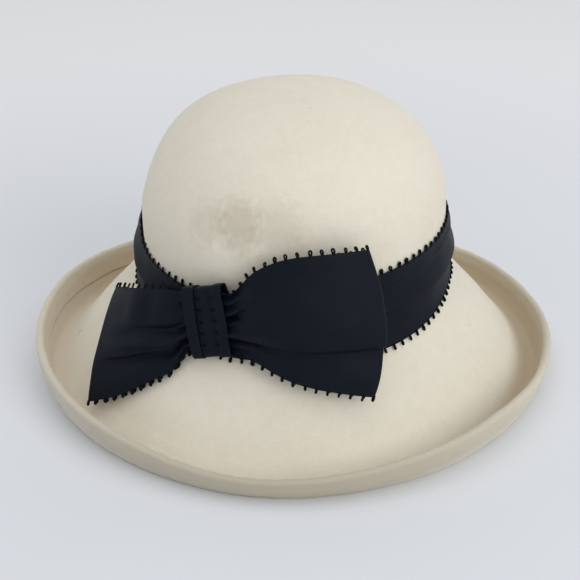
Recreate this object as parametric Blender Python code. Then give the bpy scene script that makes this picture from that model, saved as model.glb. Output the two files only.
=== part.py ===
"""A wool felt hat with an upturned rim, a pleated ribbon band and a flat ribbon bow.

Metres, +Z up. The origin is on the table under the middle of the hat, and the bow faces the
front, which is -Y. Azimuths run in degrees from the front towards +X.
"""

import bmesh
import bpy
import numpy as np

MM = 0.001

# Felt body, millimetres
HAT_HEIGHT = 166.0
WIDEST_HEIGHT = 96.0        # where the crown stops being a dome and becomes a wall
CROWN_HALF_WIDTH = 88.8
CROWN_HALF_DEPTH = 97.0
DOME_ROUNDNESS_ACROSS = 2.3
DOME_ROUNDNESS_UP = 2.25
FELT = 2.6
HEM = 4.6                   # the rim is folded over and stitched, so it is nearly twice as thick

# Upper face of the felt from the crown's widest line to the rim. half_width and half_depth are
# measured from the hat's axis, and height at the front and the back. The lifts raise the left
# and the right side above that, and the corners what lies between them and the front.
# thickness goes through the felt.
FELT_COLUMNS = ("half_width", "half_depth", "height", "lift_left", "lift_right", "corner_left",
                "corner_right", "thickness")
FELT_SECTIONS = (
    ("widest line", 88.8, 97.0, 96.0, 0.0, 0.0, 0.0, 0.0, FELT),
    ("crown wall", 88.7, 96.9, 78.0, 0.0, 0.0, 0.0, 0.0, FELT),
    ("foot of the wall", 89.9, 98.0, 66.0, 0.0, 0.0, 0.0, 0.0, FELT),
    ("brim break", 95.6, 103.2, 54.0, 1.0, 1.0, 0.0, 0.0, FELT),
    ("upper slope", 108.0, 115.0, 38.0, 3.0, 4.0, 0.0, 0.0, FELT),
    ("lower slope", 121.5, 128.5, 22.0, 4.4, 5.0, 0.0, 0.0, FELT),
    ("slope ends", 131.6, 138.2, 9.6, 4.4, 4.4, 0.0, 0.0, FELT),
    ("gutter, inside", 140.0, 146.0, 3.4, 1.9, 1.8, 0.1, 0.1, FELT),
    ("gutter, outside", 146.5, 152.5, 2.2, 1.2, 1.1, 0.1, 0.1, 3.0),
    ("hem line", 149.4, 155.4, 4.4, 5.0, 2.7, 1.1, 2.5, 3.6),
    ("hem", 151.1, 157.1, 8.5, 10.1, 4.8, 2.1, 4.8, HEM),
    ("rim", 151.8, 157.8, 12.0, 13.0, 5.8, 2.6, 6.0, HEM),
)

# The stretch of the felt that the band can lie on, and how often its lift is worked out again
SKIN_LOWEST = 30.0
LIFT_PASSES = 4

# Ribbon, millimetres
RIBBON = 1.0                # one layer, thickened to a wall that can be built
CLEARANCE = 0.4             # between pieces that touch

# Band: azimuth in degrees and the heights of its top and low edge. The knot and the left wing
# pull it down, and it climbs again behind them.
BAND_EDGES = (
    ("back", -180.0, 96.0, 55.0),
    ("back left", -125.0, 96.0, 59.0),
    ("left", -98.0, 94.5, 62.0),
    ("in front of left", -82.0, 87.5, 61.0),
    ("over the left wing", -66.0, 81.2, 57.0),
    ("beside the knot, left", -42.0, 79.6, 51.0),
    ("knot", -22.0, 81.0, 49.8),
    ("beside the knot, right", -2.0, 85.5, 49.8),
    ("behind the right wing", 20.0, 90.0, 49.8),
    ("past the right wing", 38.0, 91.3, 50.8),
    ("front right", 54.0, 93.0, 53.8),
    ("in front of right", 68.0, 93.4, 57.0),
    ("right", 84.0, 95.2, 59.6),
    ("back right", 115.0, 96.0, 59.0),
    ("back again", 180.0, 96.0, 55.0),
)
BAND_EDGE_STEPS = 6         # lines to each row of that table
KNOT_AZIMUTH = -22.0        # degrees
FLAT_HALF_SPAN = 24.0       # degrees, where the knot presses the pleats flat

BAND_LEVELS = 5             # panels of the inner face, one above the other
KNOT_PRESS = 0.8            # how much of the pleats' depth the knot takes away

# Outer face of the band, from its top edge down, as a share of its height, a distance from the
# felt and how much further it stands out at the sides. Each panel overlaps the one below it.
BAND_SECTION = (
    ("top edge", 0.00, 1.4, 0.0),
    ("top panel", 0.10, 2.2, 0.2),
    ("first fold", 0.20, 2.7, 0.6),
    ("under the first fold", 0.225, 1.6, 0.7),
    ("middle panel", 0.40, 2.9, 1.8),
    ("second fold", 0.56, 3.6, 2.8),
    ("under the second fold", 0.585, 1.6, 2.2),
    ("bottom panel", 0.80, 2.4, 0.8),
    ("bottom edge", 1.00, 1.5, 0.0),
)

# Bow. Each row is a line across the ribbon from its top edge to its low edge: azimuth, height
# and distance out from the crown's wall at both edges, how far the middle of the line lies
# past its ends in azimuth and outwards, and the gap between the front and the back layer.
WING_COLUMNS = ("top_azimuth", "top_height", "top_out", "low_azimuth", "low_height", "low_out",
                "belly_azimuth", "belly_out", "gap")
RIGHT_WING = (
    ("middle of the bow", -22.0, 84.0, 8.8, -22.0, 53.0, 16.0, 0.0, 0.0, 2.4),
    ("edge of the knot", -15.0, 88.0, 8.8, -15.0, 56.0, 15.4, 0.0, 0.2, 2.6),
    ("neck", -8.0, 103.0, 11.0, -7.0, 54.0, 19.0, 0.0, 2.0, 4.5),
    ("spread", 0.5, 111.6, 12.5, 2.0, 47.5, 25.0, 0.6, 2.6, 7.0),
    ("middle of the wing", 11.0, 114.0, 13.0, 12.0, 43.2, 30.0, 2.0, 2.4, 7.5),
    ("end fold", 22.0, 113.6, 12.5, 21.0, 39.6, 34.5, 3.6, 1.5, 4.0),
)
LEFT_WING = (
    ("middle of the bow", -22.0, 84.0, 8.8, -22.0, 53.0, 16.0, 0.0, 0.0, 2.4),
    ("edge of the knot", -29.0, 82.0, 9.8, -28.0, 50.0, 17.4, 0.0, 0.2, 2.4),
    ("neck", -36.0, 80.5, 11.0, -31.5, 39.0, 22.5, 0.0, 2.0, 4.0),
    ("spread", -45.5, 76.0, 14.0, -36.0, 32.5, 30.0, -0.5, 2.4, 5.0),
    ("middle of the wing", -55.0, 69.5, 17.0, -43.0, 21.5, 40.5, -1.0, 2.0, 5.0),
    ("end fold", -64.0, 63.0, 19.4, -50.0, 13.0, 51.5, 0.0, 1.0, 3.4),
)

LOW_EDGE_CLOSING = 0.45     # how much closer the two layers lie at the low edge
END_SETTLING = 0.5          # how much shallower the folds are at the end fold

# Folds in the front layer: where they cross the ribbon from top (0) to low edge (1) at the
# knot and at the end, how deep they are at both, and how wide at the end
FOLD_COLUMNS = ("at_knot", "at_end", "depth_at_knot", "depth_at_end", "width")
RIGHT_FOLDS = (
    ("upper crease", 0.30, 0.12, 1.6, 0.0, 0.10),
    ("low valley", 0.72, 0.80, 1.6, 2.0, 0.09),
)
LEFT_FOLDS = (
    ("upper valley", 0.38, 0.34, 1.8, 0.0, 0.12),
    ("low valley", 0.74, 0.66, 1.6, 1.4, 0.10),
)

# Knot, millimetres, in a frame that leans and rolls with the bow
KNOT_HEIGHT = 68.5
KNOT_OUT = 5.9              # back face of the knot from the crown's wall
KNOT_HALF_WIDTH = 12.0
KNOT_HALF_TALL = 19.8
KNOT_DEPTH = 10.4
KNOT_LEAN = 13.0            # degrees, the low end stands out over the brim's break
KNOT_ROLL = 15.5            # degrees, the right side is higher
KNOT_PLEATS = 3
KNOT_SQUARENESS = 5.0
KNOT_PLEAT_DEPTH = 0.5
KNOT_END_NARROWING = 0.06   # how much narrower it is at its top and low end

# Resolution
FELT_SEGMENTS = 56
DOME_RINGS = 9
SECTION_STEPS = 2           # rings to each row of the felt's table
HEM_RINGS = 2
BAND_SEGMENTS = 56
WING_STEPS = 2              # lines to each row of a wing's table
FOLD_STEPS = 2
RIBBON_STEPS = 10
KNOT_RINGS = 24
KNOT_STEPS = 6

CREAM_FELT = (0.72, 0.66, 0.53, 1.0)
NAVY_RIBBON = (0.012, 0.015, 0.024, 1.0)


def smooth_rows(table, steps):
    """Return the table's rows with smoothly curved rows between them (Catmull-Rom)."""
    rows = np.asarray(table, dtype=float)
    padded = np.vstack([2 * rows[0] - rows[1], rows, 2 * rows[-1] - rows[-2]])
    share = np.linspace(0.0, 1.0, steps, endpoint=False)[:, None]
    pieces = []
    for before, start, end, after in zip(padded, padded[1:], padded[2:], padded[3:]):
        bend = 2 * before - 5 * start + 4 * end - after
        twist = 3 * start - before - 3 * end + after
        pieces.append(start + 0.5 * share * ((end - before) + share * (bend + share * twist)))
    return np.vstack(pieces + [rows[-1:]])


def felt_section():
    """Return the rows of FELT_COLUMNS from just beside the crown's top down to the rim."""
    turn = np.linspace(0.0, np.pi / 2, DOME_RINGS + 1)[1:-1]
    spread = np.sin(turn) ** (2 / DOME_ROUNDNESS_ACROSS)
    rise = np.cos(turn) ** (2 / DOME_ROUNDNESS_UP)
    dome = np.zeros((len(turn), len(FELT_COLUMNS)))
    dome[:, 0] = CROWN_HALF_WIDTH * spread
    dome[:, 1] = CROWN_HALF_DEPTH * spread
    dome[:, 2] = WIDEST_HEIGHT + (HAT_HEIGHT - WIDEST_HEIGHT) * rise
    dome[:, -1] = FELT
    wall = smooth_rows([row[1:] for row in FELT_SECTIONS], SECTION_STEPS)
    return np.vstack([dome, wall])


def felt_face(rows, azimuths):
    """Return points of the felt's upper face, one line of them for each row."""
    across = np.sin(azimuths)
    lift = np.where(across < 0, rows[:, 3:4], rows[:, 4:5]) * across ** 2
    between = np.where(np.cos(azimuths) > 0, np.sin(2 * azimuths) ** 2, 0.0)
    lift = lift + np.where(across < 0, rows[:, 5:6], rows[:, 6:7]) * between
    return np.stack([rows[:, 0:1] * across, -rows[:, 1:2] * np.cos(azimuths),
                     rows[:, 2:3] + lift], axis=-1)


def face_normals(points, wrap_columns):
    """Return unit normals of a grid of points, from the directions along and across it."""
    down = np.gradient(points, axis=0)
    if wrap_columns:
        round_it = np.roll(points, -1, axis=1) - np.roll(points, 1, axis=1)
    else:
        round_it = np.gradient(points, axis=1)
    normal = np.cross(down, round_it)
    return normal / np.linalg.norm(normal, axis=-1, keepdims=True)


def grid_faces(rows, columns, wrap_rows, wrap_columns):
    """Return the four-sided faces of a grid of points, as point numbers."""
    row = np.arange(rows if wrap_rows else rows - 1)[:, None]
    column = np.arange(columns if wrap_columns else columns - 1)[None, :]
    next_row = (row + 1) % rows
    next_column = (column + 1) % columns
    corners = (row * columns + column, next_row * columns + column,
               next_row * columns + next_column, row * columns + next_column)
    return np.stack([np.broadcast_to(c, corners[0].shape) for c in corners], axis=-1).reshape(-1, 4)


def material(name, colour, roughness):
    """Return a Principled material of one colour and roughness."""
    made = bpy.data.materials.new(name)
    made.use_nodes = True
    shader = made.node_tree.nodes["Principled BSDF"]
    shader.inputs["Base Color"].default_value = colour
    shader.inputs["Roughness"].default_value = roughness
    shader.inputs["Metallic"].default_value = 0.0
    made.diffuse_color = colour
    return made


def add_body(name, points, faces, finish):
    """Add one closed smooth-shaded mesh, points in millimetres, with its faces outwards."""
    mesh = bpy.data.meshes.new(name)
    mesh.from_pydata((np.asarray(points) * MM).tolist(), [], [list(map(int, f)) for f in faces])
    shape = bmesh.new()
    shape.from_mesh(mesh)
    bmesh.ops.recalc_face_normals(shape, faces=shape.faces)
    shape.to_mesh(mesh)
    shape.free()
    mesh.shade_smooth()
    mesh.materials.append(finish)
    body = bpy.data.objects.new(name, mesh)
    bpy.context.collection.objects.link(body)
    return body


def felt_body(finish):
    """Build the felt: an upper face, an under face one thickness below it, and a round rim."""
    azimuths = np.linspace(0.0, 2 * np.pi, FELT_SEGMENTS, endpoint=False)
    rows = felt_section()
    upper = felt_face(rows, azimuths)
    normal = face_normals(upper, True)
    if normal[0, 0, 2] < 0:
        normal = -normal
    through = rows[:, -1][:, None, None]
    under = upper - normal * through
    under[..., 2] = np.maximum(under[..., 2], 0.0)
    centre = (upper[-1] + under[-1]) / 2
    reach = (upper[-1] - under[-1]) / 2
    outward = upper[-1] - upper[-2]
    outward -= reach * (np.sum(outward * reach, -1) / np.sum(reach * reach, -1))[:, None]
    outward *= (np.linalg.norm(reach, axis=-1) / np.linalg.norm(outward, axis=-1))[:, None]
    turns = np.linspace(0.0, np.pi, HEM_RINGS + 2)[1:-1]
    rim = [centre + reach * np.cos(turn) + outward * np.sin(turn) for turn in turns]
    rings = np.concatenate([upper, np.array(rim), under[::-1]])
    count, columns = rings.shape[:2]
    faces = grid_faces(count, columns, False, True).tolist()
    top = count * columns
    faces += [(top, (column + 1) % columns, column) for column in range(columns)]
    last = (count - 1) * columns
    faces += [(top + 1, last + column, last + (column + 1) % columns) for column in range(columns)]
    poles = [(0.0, 0.0, HAT_HEIGHT), (0.0, 0.0, HAT_HEIGHT - FELT)]
    return add_body("felt_body", np.vstack([rings.reshape(-1, 3), poles]), faces, finish)


def wall_point(azimuth, height, out):
    """Return a point that stands out from the crown's upright wall line."""
    across = np.sin(azimuth)
    along = np.cos(azimuth)
    radius = 1 / np.sqrt((across / CROWN_HALF_WIDTH) ** 2 + (along / CROWN_HALF_DEPTH) ** 2)
    reach = radius + out
    return np.stack([reach * across, -reach * along, height * np.ones_like(reach)], axis=-1)


def crown_skin(azimuth, height, out):
    """Return points that lie a distance out from the felt at given azimuths and heights."""
    rows = felt_section()
    level = rows[rows[:, 2] > SKIN_LOWEST][::-1]
    across = np.sin(azimuth)
    along = -np.cos(azimuth)
    unlifted = height
    for _ in range(LIFT_PASSES):
        lift = np.where(across < 0, np.interp(unlifted, level[:, 2], level[:, 3]),
                        np.interp(unlifted, level[:, 2], level[:, 4]))
        unlifted = height - lift * across ** 2
    half_width = np.interp(unlifted, level[:, 2], level[:, 0])
    half_depth = np.interp(unlifted, level[:, 2], level[:, 1])
    slope = (np.interp(unlifted + 1.0, level[:, 2], level[:, 0])
             - np.interp(unlifted - 1.0, level[:, 2], level[:, 0])) / 2
    flat = np.stack([across / half_width, along / half_depth], axis=-1)
    flat /= np.linalg.norm(flat, axis=-1, keepdims=True)
    normal = np.concatenate([flat, -slope[..., None]], axis=-1)
    normal /= np.linalg.norm(normal, axis=-1, keepdims=True)
    foot = np.stack([half_width * across, half_depth * along, height], axis=-1)
    return foot + normal * out[..., None]


def near_knot(azimuth, half_span):
    """Return 1 at the knot, falling smoothly to 0 at half_span degrees beside it."""
    away = np.degrees(azimuth) - KNOT_AZIMUTH
    away = np.abs((away + 180.0) % 360.0 - 180.0) / half_span
    return np.cos(np.clip(away, 0.0, 1.0) * np.pi / 2) ** 2


def ribbon_band(finish):
    """Build the band: pleated outside, and following the felt inside."""
    azimuth = np.linspace(0.0, 2 * np.pi, BAND_SEGMENTS, endpoint=False)
    edges = smooth_rows([row[1:] for row in BAND_EDGES], BAND_EDGE_STEPS)
    turned = (np.degrees(azimuth) + 180.0) % 360.0 - 180.0
    top = np.interp(turned, edges[:, 0], edges[:, 1])
    bottom = np.interp(turned, edges[:, 0], edges[:, 2])
    share = np.array([row[1] for row in BAND_SECTION])[:, None]
    out = np.array([row[2] for row in BAND_SECTION])[:, None]
    at_sides = np.array([row[3] for row in BAND_SECTION])[:, None]
    out = out + at_sides * np.sin(azimuth) ** 2
    thin = RIBBON + CLEARANCE
    out = thin + (out - thin) * (1 - KNOT_PRESS * near_knot(azimuth, FLAT_HALF_SPAN))
    height = top + (bottom - top) * share
    outer = crown_skin(np.broadcast_to(azimuth, height.shape), height, out)
    levels = np.linspace(0.0, 1.0, BAND_LEVELS + 1)[:, None]
    height = top + (bottom - top) * levels
    back = np.full(height.shape, CLEARANCE)
    inner = crown_skin(np.broadcast_to(azimuth, height.shape), height, back)
    rings = np.concatenate([outer, inner[::-1]])
    faces = grid_faces(*rings.shape[:2], True, True)
    return add_body("ribbon_band", rings.reshape(-1, 3), faces, finish)


def wing_layer(rows, across, behind):
    """Return ribbon points for each row of WING_COLUMNS, behind mm further in than the front."""
    belly = 4 * across * (1 - across)
    azimuth = rows[:, 0:1] + (rows[:, 3:4] - rows[:, 0:1]) * across + rows[:, 6:7] * belly
    height = rows[:, 1:2] + (rows[:, 4:5] - rows[:, 1:2]) * across
    out = rows[:, 2:3] + (rows[:, 5:6] - rows[:, 2:3]) * across + rows[:, 7:8] * belly
    return wall_point(np.radians(azimuth), height, out - behind)


def fold_depth(folds, rows, across):
    """Return how far the folds push the front layer in, for each row and place across."""
    along = np.linspace(0.0, 1.0, rows)[:, None]
    depth = np.zeros((rows, across.shape[-1]))
    for _, at_knot, at_end, depth_at_knot, depth_at_end, width in folds:
        centre = at_knot + (at_end - at_knot) * along
        deep = depth_at_knot + (depth_at_end - depth_at_knot) * along
        depth += deep * np.sqrt(along) * np.exp(-((across - centre) / width) ** 2)
    return depth


def wing(table, folds):
    """Return a wing's front layer, end fold and back layer, from the knot out and back."""
    rows = smooth_rows([row[1:] for row in table], WING_STEPS)
    across = np.linspace(0.0, 1.0, RIBBON_STEPS + 1)[None, :]
    settle = np.linspace(0.0, 1.0, len(rows))[:, None] ** 4
    depth = fold_depth(folds, len(rows), across) * (1 - END_SETTLING * settle)
    front = wing_layer(rows, across, depth)
    back = wing_layer(rows, across, rows[:, 8:9] * (1 - LOW_EDGE_CLOSING * across ** 2))
    centre = (front[-1] + back[-1]) / 2
    reach = (front[-1] - back[-1]) / 2
    outward = front[-1] - front[-2] + back[-1] - back[-2]
    outward -= reach * (np.sum(outward * reach, -1) / np.sum(reach * reach, -1))[:, None]
    outward *= (np.linalg.norm(reach, axis=-1) / np.linalg.norm(outward, axis=-1))[:, None]
    turns = np.linspace(0.0, np.pi, FOLD_STEPS + 2)[1:-1]
    fold = np.array([centre + reach * np.cos(t) + outward * np.sin(t) for t in turns])
    return front, fold, back


def bow_loops(finish):
    """Build the bow's ribbon: one closed loop with a wing on each side, given a thickness."""
    right_front, right_fold, right_back = wing(RIGHT_WING, RIGHT_FOLDS)
    left_front, left_fold, left_back = wing(LEFT_WING, LEFT_FOLDS)
    path = np.concatenate([right_front, right_fold, right_back[::-1],
                           left_back[1:], left_fold[::-1], left_front[:0:-1]])
    faces = grid_faces(*path.shape[:2], True, False)
    ribbon = add_body("bow_loops", path.reshape(-1, 3), faces, finish)
    wall = ribbon.modifiers.new("ribbon wall", "SOLIDIFY")
    wall.thickness = RIBBON * MM
    wall.offset = 0.0
    wall.use_rim = True
    wall.use_even_offset = False
    return ribbon


def knot_frame():
    """Return the knot's origin on the wall and its unit axes along, up and out."""
    azimuth = np.radians(KNOT_AZIMUTH)
    lean = np.radians(KNOT_LEAN)
    roll = np.radians(KNOT_ROLL)
    origin = wall_point(np.array([azimuth]), KNOT_HEIGHT, KNOT_OUT)[0]
    level = np.array([np.cos(azimuth), np.sin(azimuth), 0.0])
    forward = np.array([np.sin(azimuth), -np.cos(azimuth), 0.0])
    upright = np.array([0.0, 0.0, 1.0])
    out = np.cos(lean) * forward + np.sin(lean) * upright
    up = np.cos(lean) * upright - np.sin(lean) * forward
    return (origin, np.cos(roll) * level + np.sin(roll) * up,
            np.cos(roll) * up - np.sin(roll) * level, out)


def bow_knot(finish):
    """Build the knot: a pleated ribbon that wraps round the middle of the bow."""
    origin, along, up, out = knot_frame()
    turn = np.linspace(0.0, 2 * np.pi, KNOT_RINGS, endpoint=False)[:, None]
    place = np.linspace(-1.0, 1.0, KNOT_STEPS + 1)[None, :]
    squareness = 2 / KNOT_SQUARENESS
    lift = np.sign(np.cos(turn)) * np.abs(np.cos(turn)) ** squareness
    swell = np.sign(np.sin(turn)) * np.abs(np.sin(turn)) ** squareness
    front = np.clip(swell, 0.0, 1.0)
    pleat = KNOT_PLEAT_DEPTH * front * np.cos(place * KNOT_PLEATS * np.pi)
    half_depth = (KNOT_DEPTH - RIBBON) / 2
    half_tall = KNOT_HALF_TALL - RIBBON / 2
    middle = KNOT_DEPTH / 2
    sideways = KNOT_HALF_WIDTH * place * (1 - KNOT_END_NARROWING * np.abs(lift))
    points = (origin + along * sideways[..., None] + up * (half_tall * lift + 0 * place)[..., None]
              + out * (middle + half_depth * swell + pleat)[..., None])
    faces = grid_faces(*points.shape[:2], True, False)
    knot = add_body("bow_knot", points.reshape(-1, 3), faces, finish)
    wall = knot.modifiers.new("ribbon wall", "SOLIDIFY")
    wall.thickness = RIBBON * MM
    wall.offset = 0.0
    wall.use_rim = True
    wall.use_even_offset = False
    return knot


def main():
    """Clear the scene and build the hat."""
    for old in list(bpy.data.objects):
        bpy.data.objects.remove(old, do_unlink=True)
    felt = material("cream felt", CREAM_FELT, 0.95)
    ribbon = material("navy ribbon", NAVY_RIBBON, 0.6)
    felt_body(felt)
    ribbon_band(ribbon)
    bow_loops(ribbon)
    bow_knot(ribbon)


main()
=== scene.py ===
"""Looks of the wool felt hat: its felt, ribbon band, bow and picot edging, with their finishes.

Sizes are in millimetres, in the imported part's frame: the origin is on the table under the middle
of the hat, +Z is up and the bow faces the front, -Y. Azimuths run in degrees from the front
towards +X. Meshes are scaled to metres when they are made.
"""

import logging
from dataclasses import dataclass
from enum import Enum

import bpy
import numpy as np
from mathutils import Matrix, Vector


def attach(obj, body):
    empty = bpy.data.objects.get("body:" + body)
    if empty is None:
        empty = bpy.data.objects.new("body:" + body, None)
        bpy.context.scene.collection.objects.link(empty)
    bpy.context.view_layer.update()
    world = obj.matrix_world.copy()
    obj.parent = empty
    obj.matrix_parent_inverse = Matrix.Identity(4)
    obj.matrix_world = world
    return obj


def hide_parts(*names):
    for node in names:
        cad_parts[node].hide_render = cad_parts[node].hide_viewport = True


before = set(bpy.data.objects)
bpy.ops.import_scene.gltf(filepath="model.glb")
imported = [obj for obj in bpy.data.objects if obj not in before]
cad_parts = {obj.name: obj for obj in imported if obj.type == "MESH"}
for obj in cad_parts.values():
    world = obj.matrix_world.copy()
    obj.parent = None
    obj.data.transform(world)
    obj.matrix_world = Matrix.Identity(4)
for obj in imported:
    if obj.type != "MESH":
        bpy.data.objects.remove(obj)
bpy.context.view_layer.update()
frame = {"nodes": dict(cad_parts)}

LOG = logging.getLogger("wool_felt_hat")
MM = 0.001
Array = np.ndarray
Colour = tuple[float, float, float, float]
Triple = tuple[float, float, float]
Pair = tuple[float, float]
NO_TRIANGLES = np.zeros((0, 3), int)

# Upper face of the felt from the crown's widest line to the rim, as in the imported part
FELT = 2.6
HEM = 4.6
FELT_COLUMNS = ("half_width", "half_depth", "height", "lift_left", "lift_right", "corner_left",
                "corner_right", "thickness")
FELT_SECTIONS = (
    ("widest line", 88.8, 97.0, 96.0, 0.0, 0.0, 0.0, 0.0, FELT),
    ("crown wall", 88.7, 96.9, 78.0, 0.0, 0.0, 0.0, 0.0, FELT),
    ("foot of the wall", 89.9, 98.0, 66.0, 0.0, 0.0, 0.0, 0.0, FELT),
    ("brim break", 95.6, 103.2, 54.0, 1.0, 1.0, 0.0, 0.0, FELT),
    ("upper slope", 108.0, 115.0, 38.0, 3.0, 4.0, 0.0, 0.0, FELT),
    ("lower slope", 121.5, 128.5, 22.0, 4.4, 5.0, 0.0, 0.0, FELT),
    ("slope ends", 131.6, 138.2, 9.6, 4.4, 4.4, 0.0, 0.0, FELT),
    ("gutter, inside", 140.0, 146.0, 3.4, 1.9, 1.8, 0.1, 0.1, FELT),
    ("gutter, outside", 146.5, 152.5, 2.2, 1.2, 1.1, 0.1, 0.1, 3.0),
    ("hem line", 149.4, 155.4, 4.4, 5.0, 2.7, 1.1, 2.5, 3.6),
    ("hem", 151.1, 157.1, 8.5, 10.1, 4.8, 2.1, 4.8, HEM),
    ("rim", 151.8, 157.8, 12.0, 13.0, 5.8, 2.6, 6.0, HEM),
)
# Rings between the rows of that table, closest together where the hem's step is
FELT_STEPS = (7, 7, 8, 12, 12, 11, 10, 10, 16, 14, 6)

KNOT_AZIMUTH = -22.0

# Bow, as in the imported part: each row is a line across the ribbon from its top edge to its low
# edge. Its numbers are the top edge's azimuth, height and distance out, the low edge's, the
# belly's azimuth and distance out, and the gap between the front and the back layer.
RIGHT_WING = (
    ("middle of the bow", -22.0, 84.0, 8.8, -22.0, 53.0, 16.0, 0.0, 0.0, 2.4),
    ("edge of the knot", -15.0, 88.0, 8.8, -15.0, 56.0, 15.4, 0.0, 0.2, 2.6),
    ("neck", -8.0, 103.0, 11.0, -7.0, 54.0, 19.0, 0.0, 2.0, 5.5),
    ("spread", 0.5, 111.6, 12.5, 2.0, 47.5, 25.0, 0.6, 2.6, 7.5),
    ("middle of the wing", 11.0, 114.0, 13.0, 12.0, 43.2, 30.0, 2.0, 2.4, 7.5),
    ("end fold", 22.0, 113.6, 12.5, 21.0, 39.6, 34.5, 3.6, 1.5, 4.0),
)
LEFT_WING = (
    ("middle of the bow", -22.0, 84.0, 8.8, -22.0, 53.0, 16.0, 0.0, 0.0, 2.4),
    ("edge of the knot", -29.0, 82.0, 9.8, -28.0, 50.0, 17.4, 0.0, 0.2, 2.4),
    ("neck", -36.0, 80.5, 11.0, -31.5, 39.0, 22.5, 0.0, 2.0, 5.8),
    ("spread", -45.5, 76.0, 14.0, -36.0, 32.5, 30.0, -0.5, 2.4, 7.5),
    ("middle of the wing", -55.0, 69.5, 17.0, -43.0, 21.5, 40.5, -1.0, 2.0, 7.0),
    ("end fold", -64.0, 63.0, 19.4, -50.0, 13.0, 51.5, 0.0, 1.0, 3.4),
)

# The band's edges: azimuth in degrees and the heights of its top and low edge, as in the part.
# The knot and the left wing pull it down, and it climbs again behind them.
BAND_EDGES = (
    ("back", -180.0, 96.0, 55.0),
    ("back left", -125.0, 96.0, 59.0),
    ("left", -98.0, 94.5, 62.0),
    ("in front of left", -82.0, 87.5, 61.0),
    ("over the left wing", -66.0, 81.2, 57.0),
    ("beside the knot, left", -42.0, 79.6, 51.0),
    ("knot", -22.0, 81.0, 49.8),
    ("beside the knot, right", -2.0, 85.5, 49.8),
    ("behind the right wing", 20.0, 90.0, 49.8),
    ("past the right wing", 38.0, 91.3, 50.8),
    ("front right", 54.0, 93.0, 53.8),
    ("in front of right", 68.0, 93.4, 57.0),
    ("right", 84.0, 95.2, 59.6),
    ("back right", 115.0, 96.0, 59.0),
    ("back again", 180.0, 96.0, 55.0),
)

# Folds in a wing's front layer. They run from one place along the wing to another (0 at the
# middle of the bow, 1 at its end), at a share across the ribbon (0 is the top edge, 1 the low
# one), and push it in (positive) or out. A fold's upper and lower side have widths of their own.
# Its numbers are both ends along, both ends across, both ends' depths and both widths.
RIGHT_FOLDS = (
    ("crease under the top edge", 0.16, 0.62, 0.17, 0.24, -0.9, -0.3, 0.030, 0.075),
    ("hollow over that crease", 0.14, 0.80, 0.08, 0.12, 1.1, 0.3, 0.050, 0.050),
    ("ridge over the pocket", 0.14, 0.62, 0.33, 0.24, -1.8, -0.8, 0.060, 0.040),
    ("pocket at the knot", 0.16, 0.30, 0.42, 0.44, 4.4, 1.2, 0.022, 0.080),
    ("crease out of the pocket", 0.22, 0.42, 0.40, 0.62, 2.1, 0.5, 0.020, 0.030),
    ("ridge under the pocket", 0.18, 0.70, 0.66, 0.60, -2.2, -0.9, 0.090, 0.080),
    ("low valley", 0.18, 1.00, 0.82, 0.69, 4.6, 3.6, 0.024, 0.150),
)
LEFT_FOLDS = (
    ("hollow at the knot", 0.18, 0.46, 0.24, 0.20, 2.7, 0.9, 0.110, 0.110),
    ("upper valley", 0.18, 0.82, 0.53, 0.42, 5.0, 1.6, 0.055, 0.070),
    ("middle ridge", 0.18, 0.96, 0.68, 0.52, -2.6, -1.7, 0.070, 0.055),
    ("low valley", 0.18, 0.97, 0.80, 0.66, 5.2, 3.4, 0.020, 0.110),
    ("low ridge", 0.20, 0.50, 0.91, 0.84, -0.9, -0.2, 0.040, 0.040),
)
# Soft bumps (negative) and dents of the front layer: places along and across, depth, and widths
# along and across
RIGHT_BUMPS = (
    ("long swell", 0.62, 0.46, -1.3, 0.240, 0.200),
    ("dent by the end", 0.86, 0.30, 0.8, 0.100, 0.200),
    ("roll at the end", 0.97, 0.62, -0.7, 0.040, 0.160),
)
LEFT_BUMPS = (
    ("upright ridge", 0.70, 0.18, -1.5, 0.070, 0.200),
    ("hollow past the ridge", 0.56, 0.20, 0.9, 0.055, 0.180),
    ("low panel", 0.80, 0.82, -1.1, 0.160, 0.130),
)


class Wing(Enum):
    """Which half of the bow, with its table of rows, folds and bumps."""

    RIGHT = (RIGHT_WING, RIGHT_FOLDS, RIGHT_BUMPS)
    LEFT = (LEFT_WING, LEFT_FOLDS, LEFT_BUMPS)


class RibbonEdge(Enum):
    """Which long edge of a ribbon: the first or the last line of its grid across."""

    TOP = 0
    LOW = -1


def smooth_rows(table: Array, steps: tuple[int, ...]) -> Array:
    """Return the table's rows with curved rows between them.

    Between two rows the curve is the cubic through them whose slope at each row is half the
    difference of that row's neighbours (Catmull-Rom).

    Args:
        table: Rows of numbers.
        steps: New rows from each row to the next.
    Returns:
        The old and new rows in order.
    """
    rows = np.asarray(table, dtype=float)
    padded = np.vstack([2 * rows[0] - rows[1], rows, 2 * rows[-1] - rows[-2]])
    pieces = []
    for count, before, start, end, after in zip(steps, padded, padded[1:], padded[2:], padded[3:]):
        share = np.linspace(0.0, 1.0, count, endpoint=False)[:, None]
        bend = 2 * before - 5 * start + 4 * end - after
        twist = 3 * start - before - 3 * end + after
        pieces.append(start + 0.5 * share * ((end - before) + share * (bend + share * twist)))
    return np.vstack(pieces + [rows[-1:]])


def smoothstep(value: Array, start: float, stop: float) -> Array:
    """Return 0 before start and 1 after stop, with the cubic 3t^2 - 2t^3 between them."""
    share = np.clip((value - start) / (stop - start), 0.0, 1.0)
    return share * share * (3 - 2 * share)


def unit(vectors: Array) -> Array:
    """Return vectors divided by their lengths."""
    return vectors / np.maximum(np.linalg.norm(vectors, axis=-1, keepdims=True), 1e-9)


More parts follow.
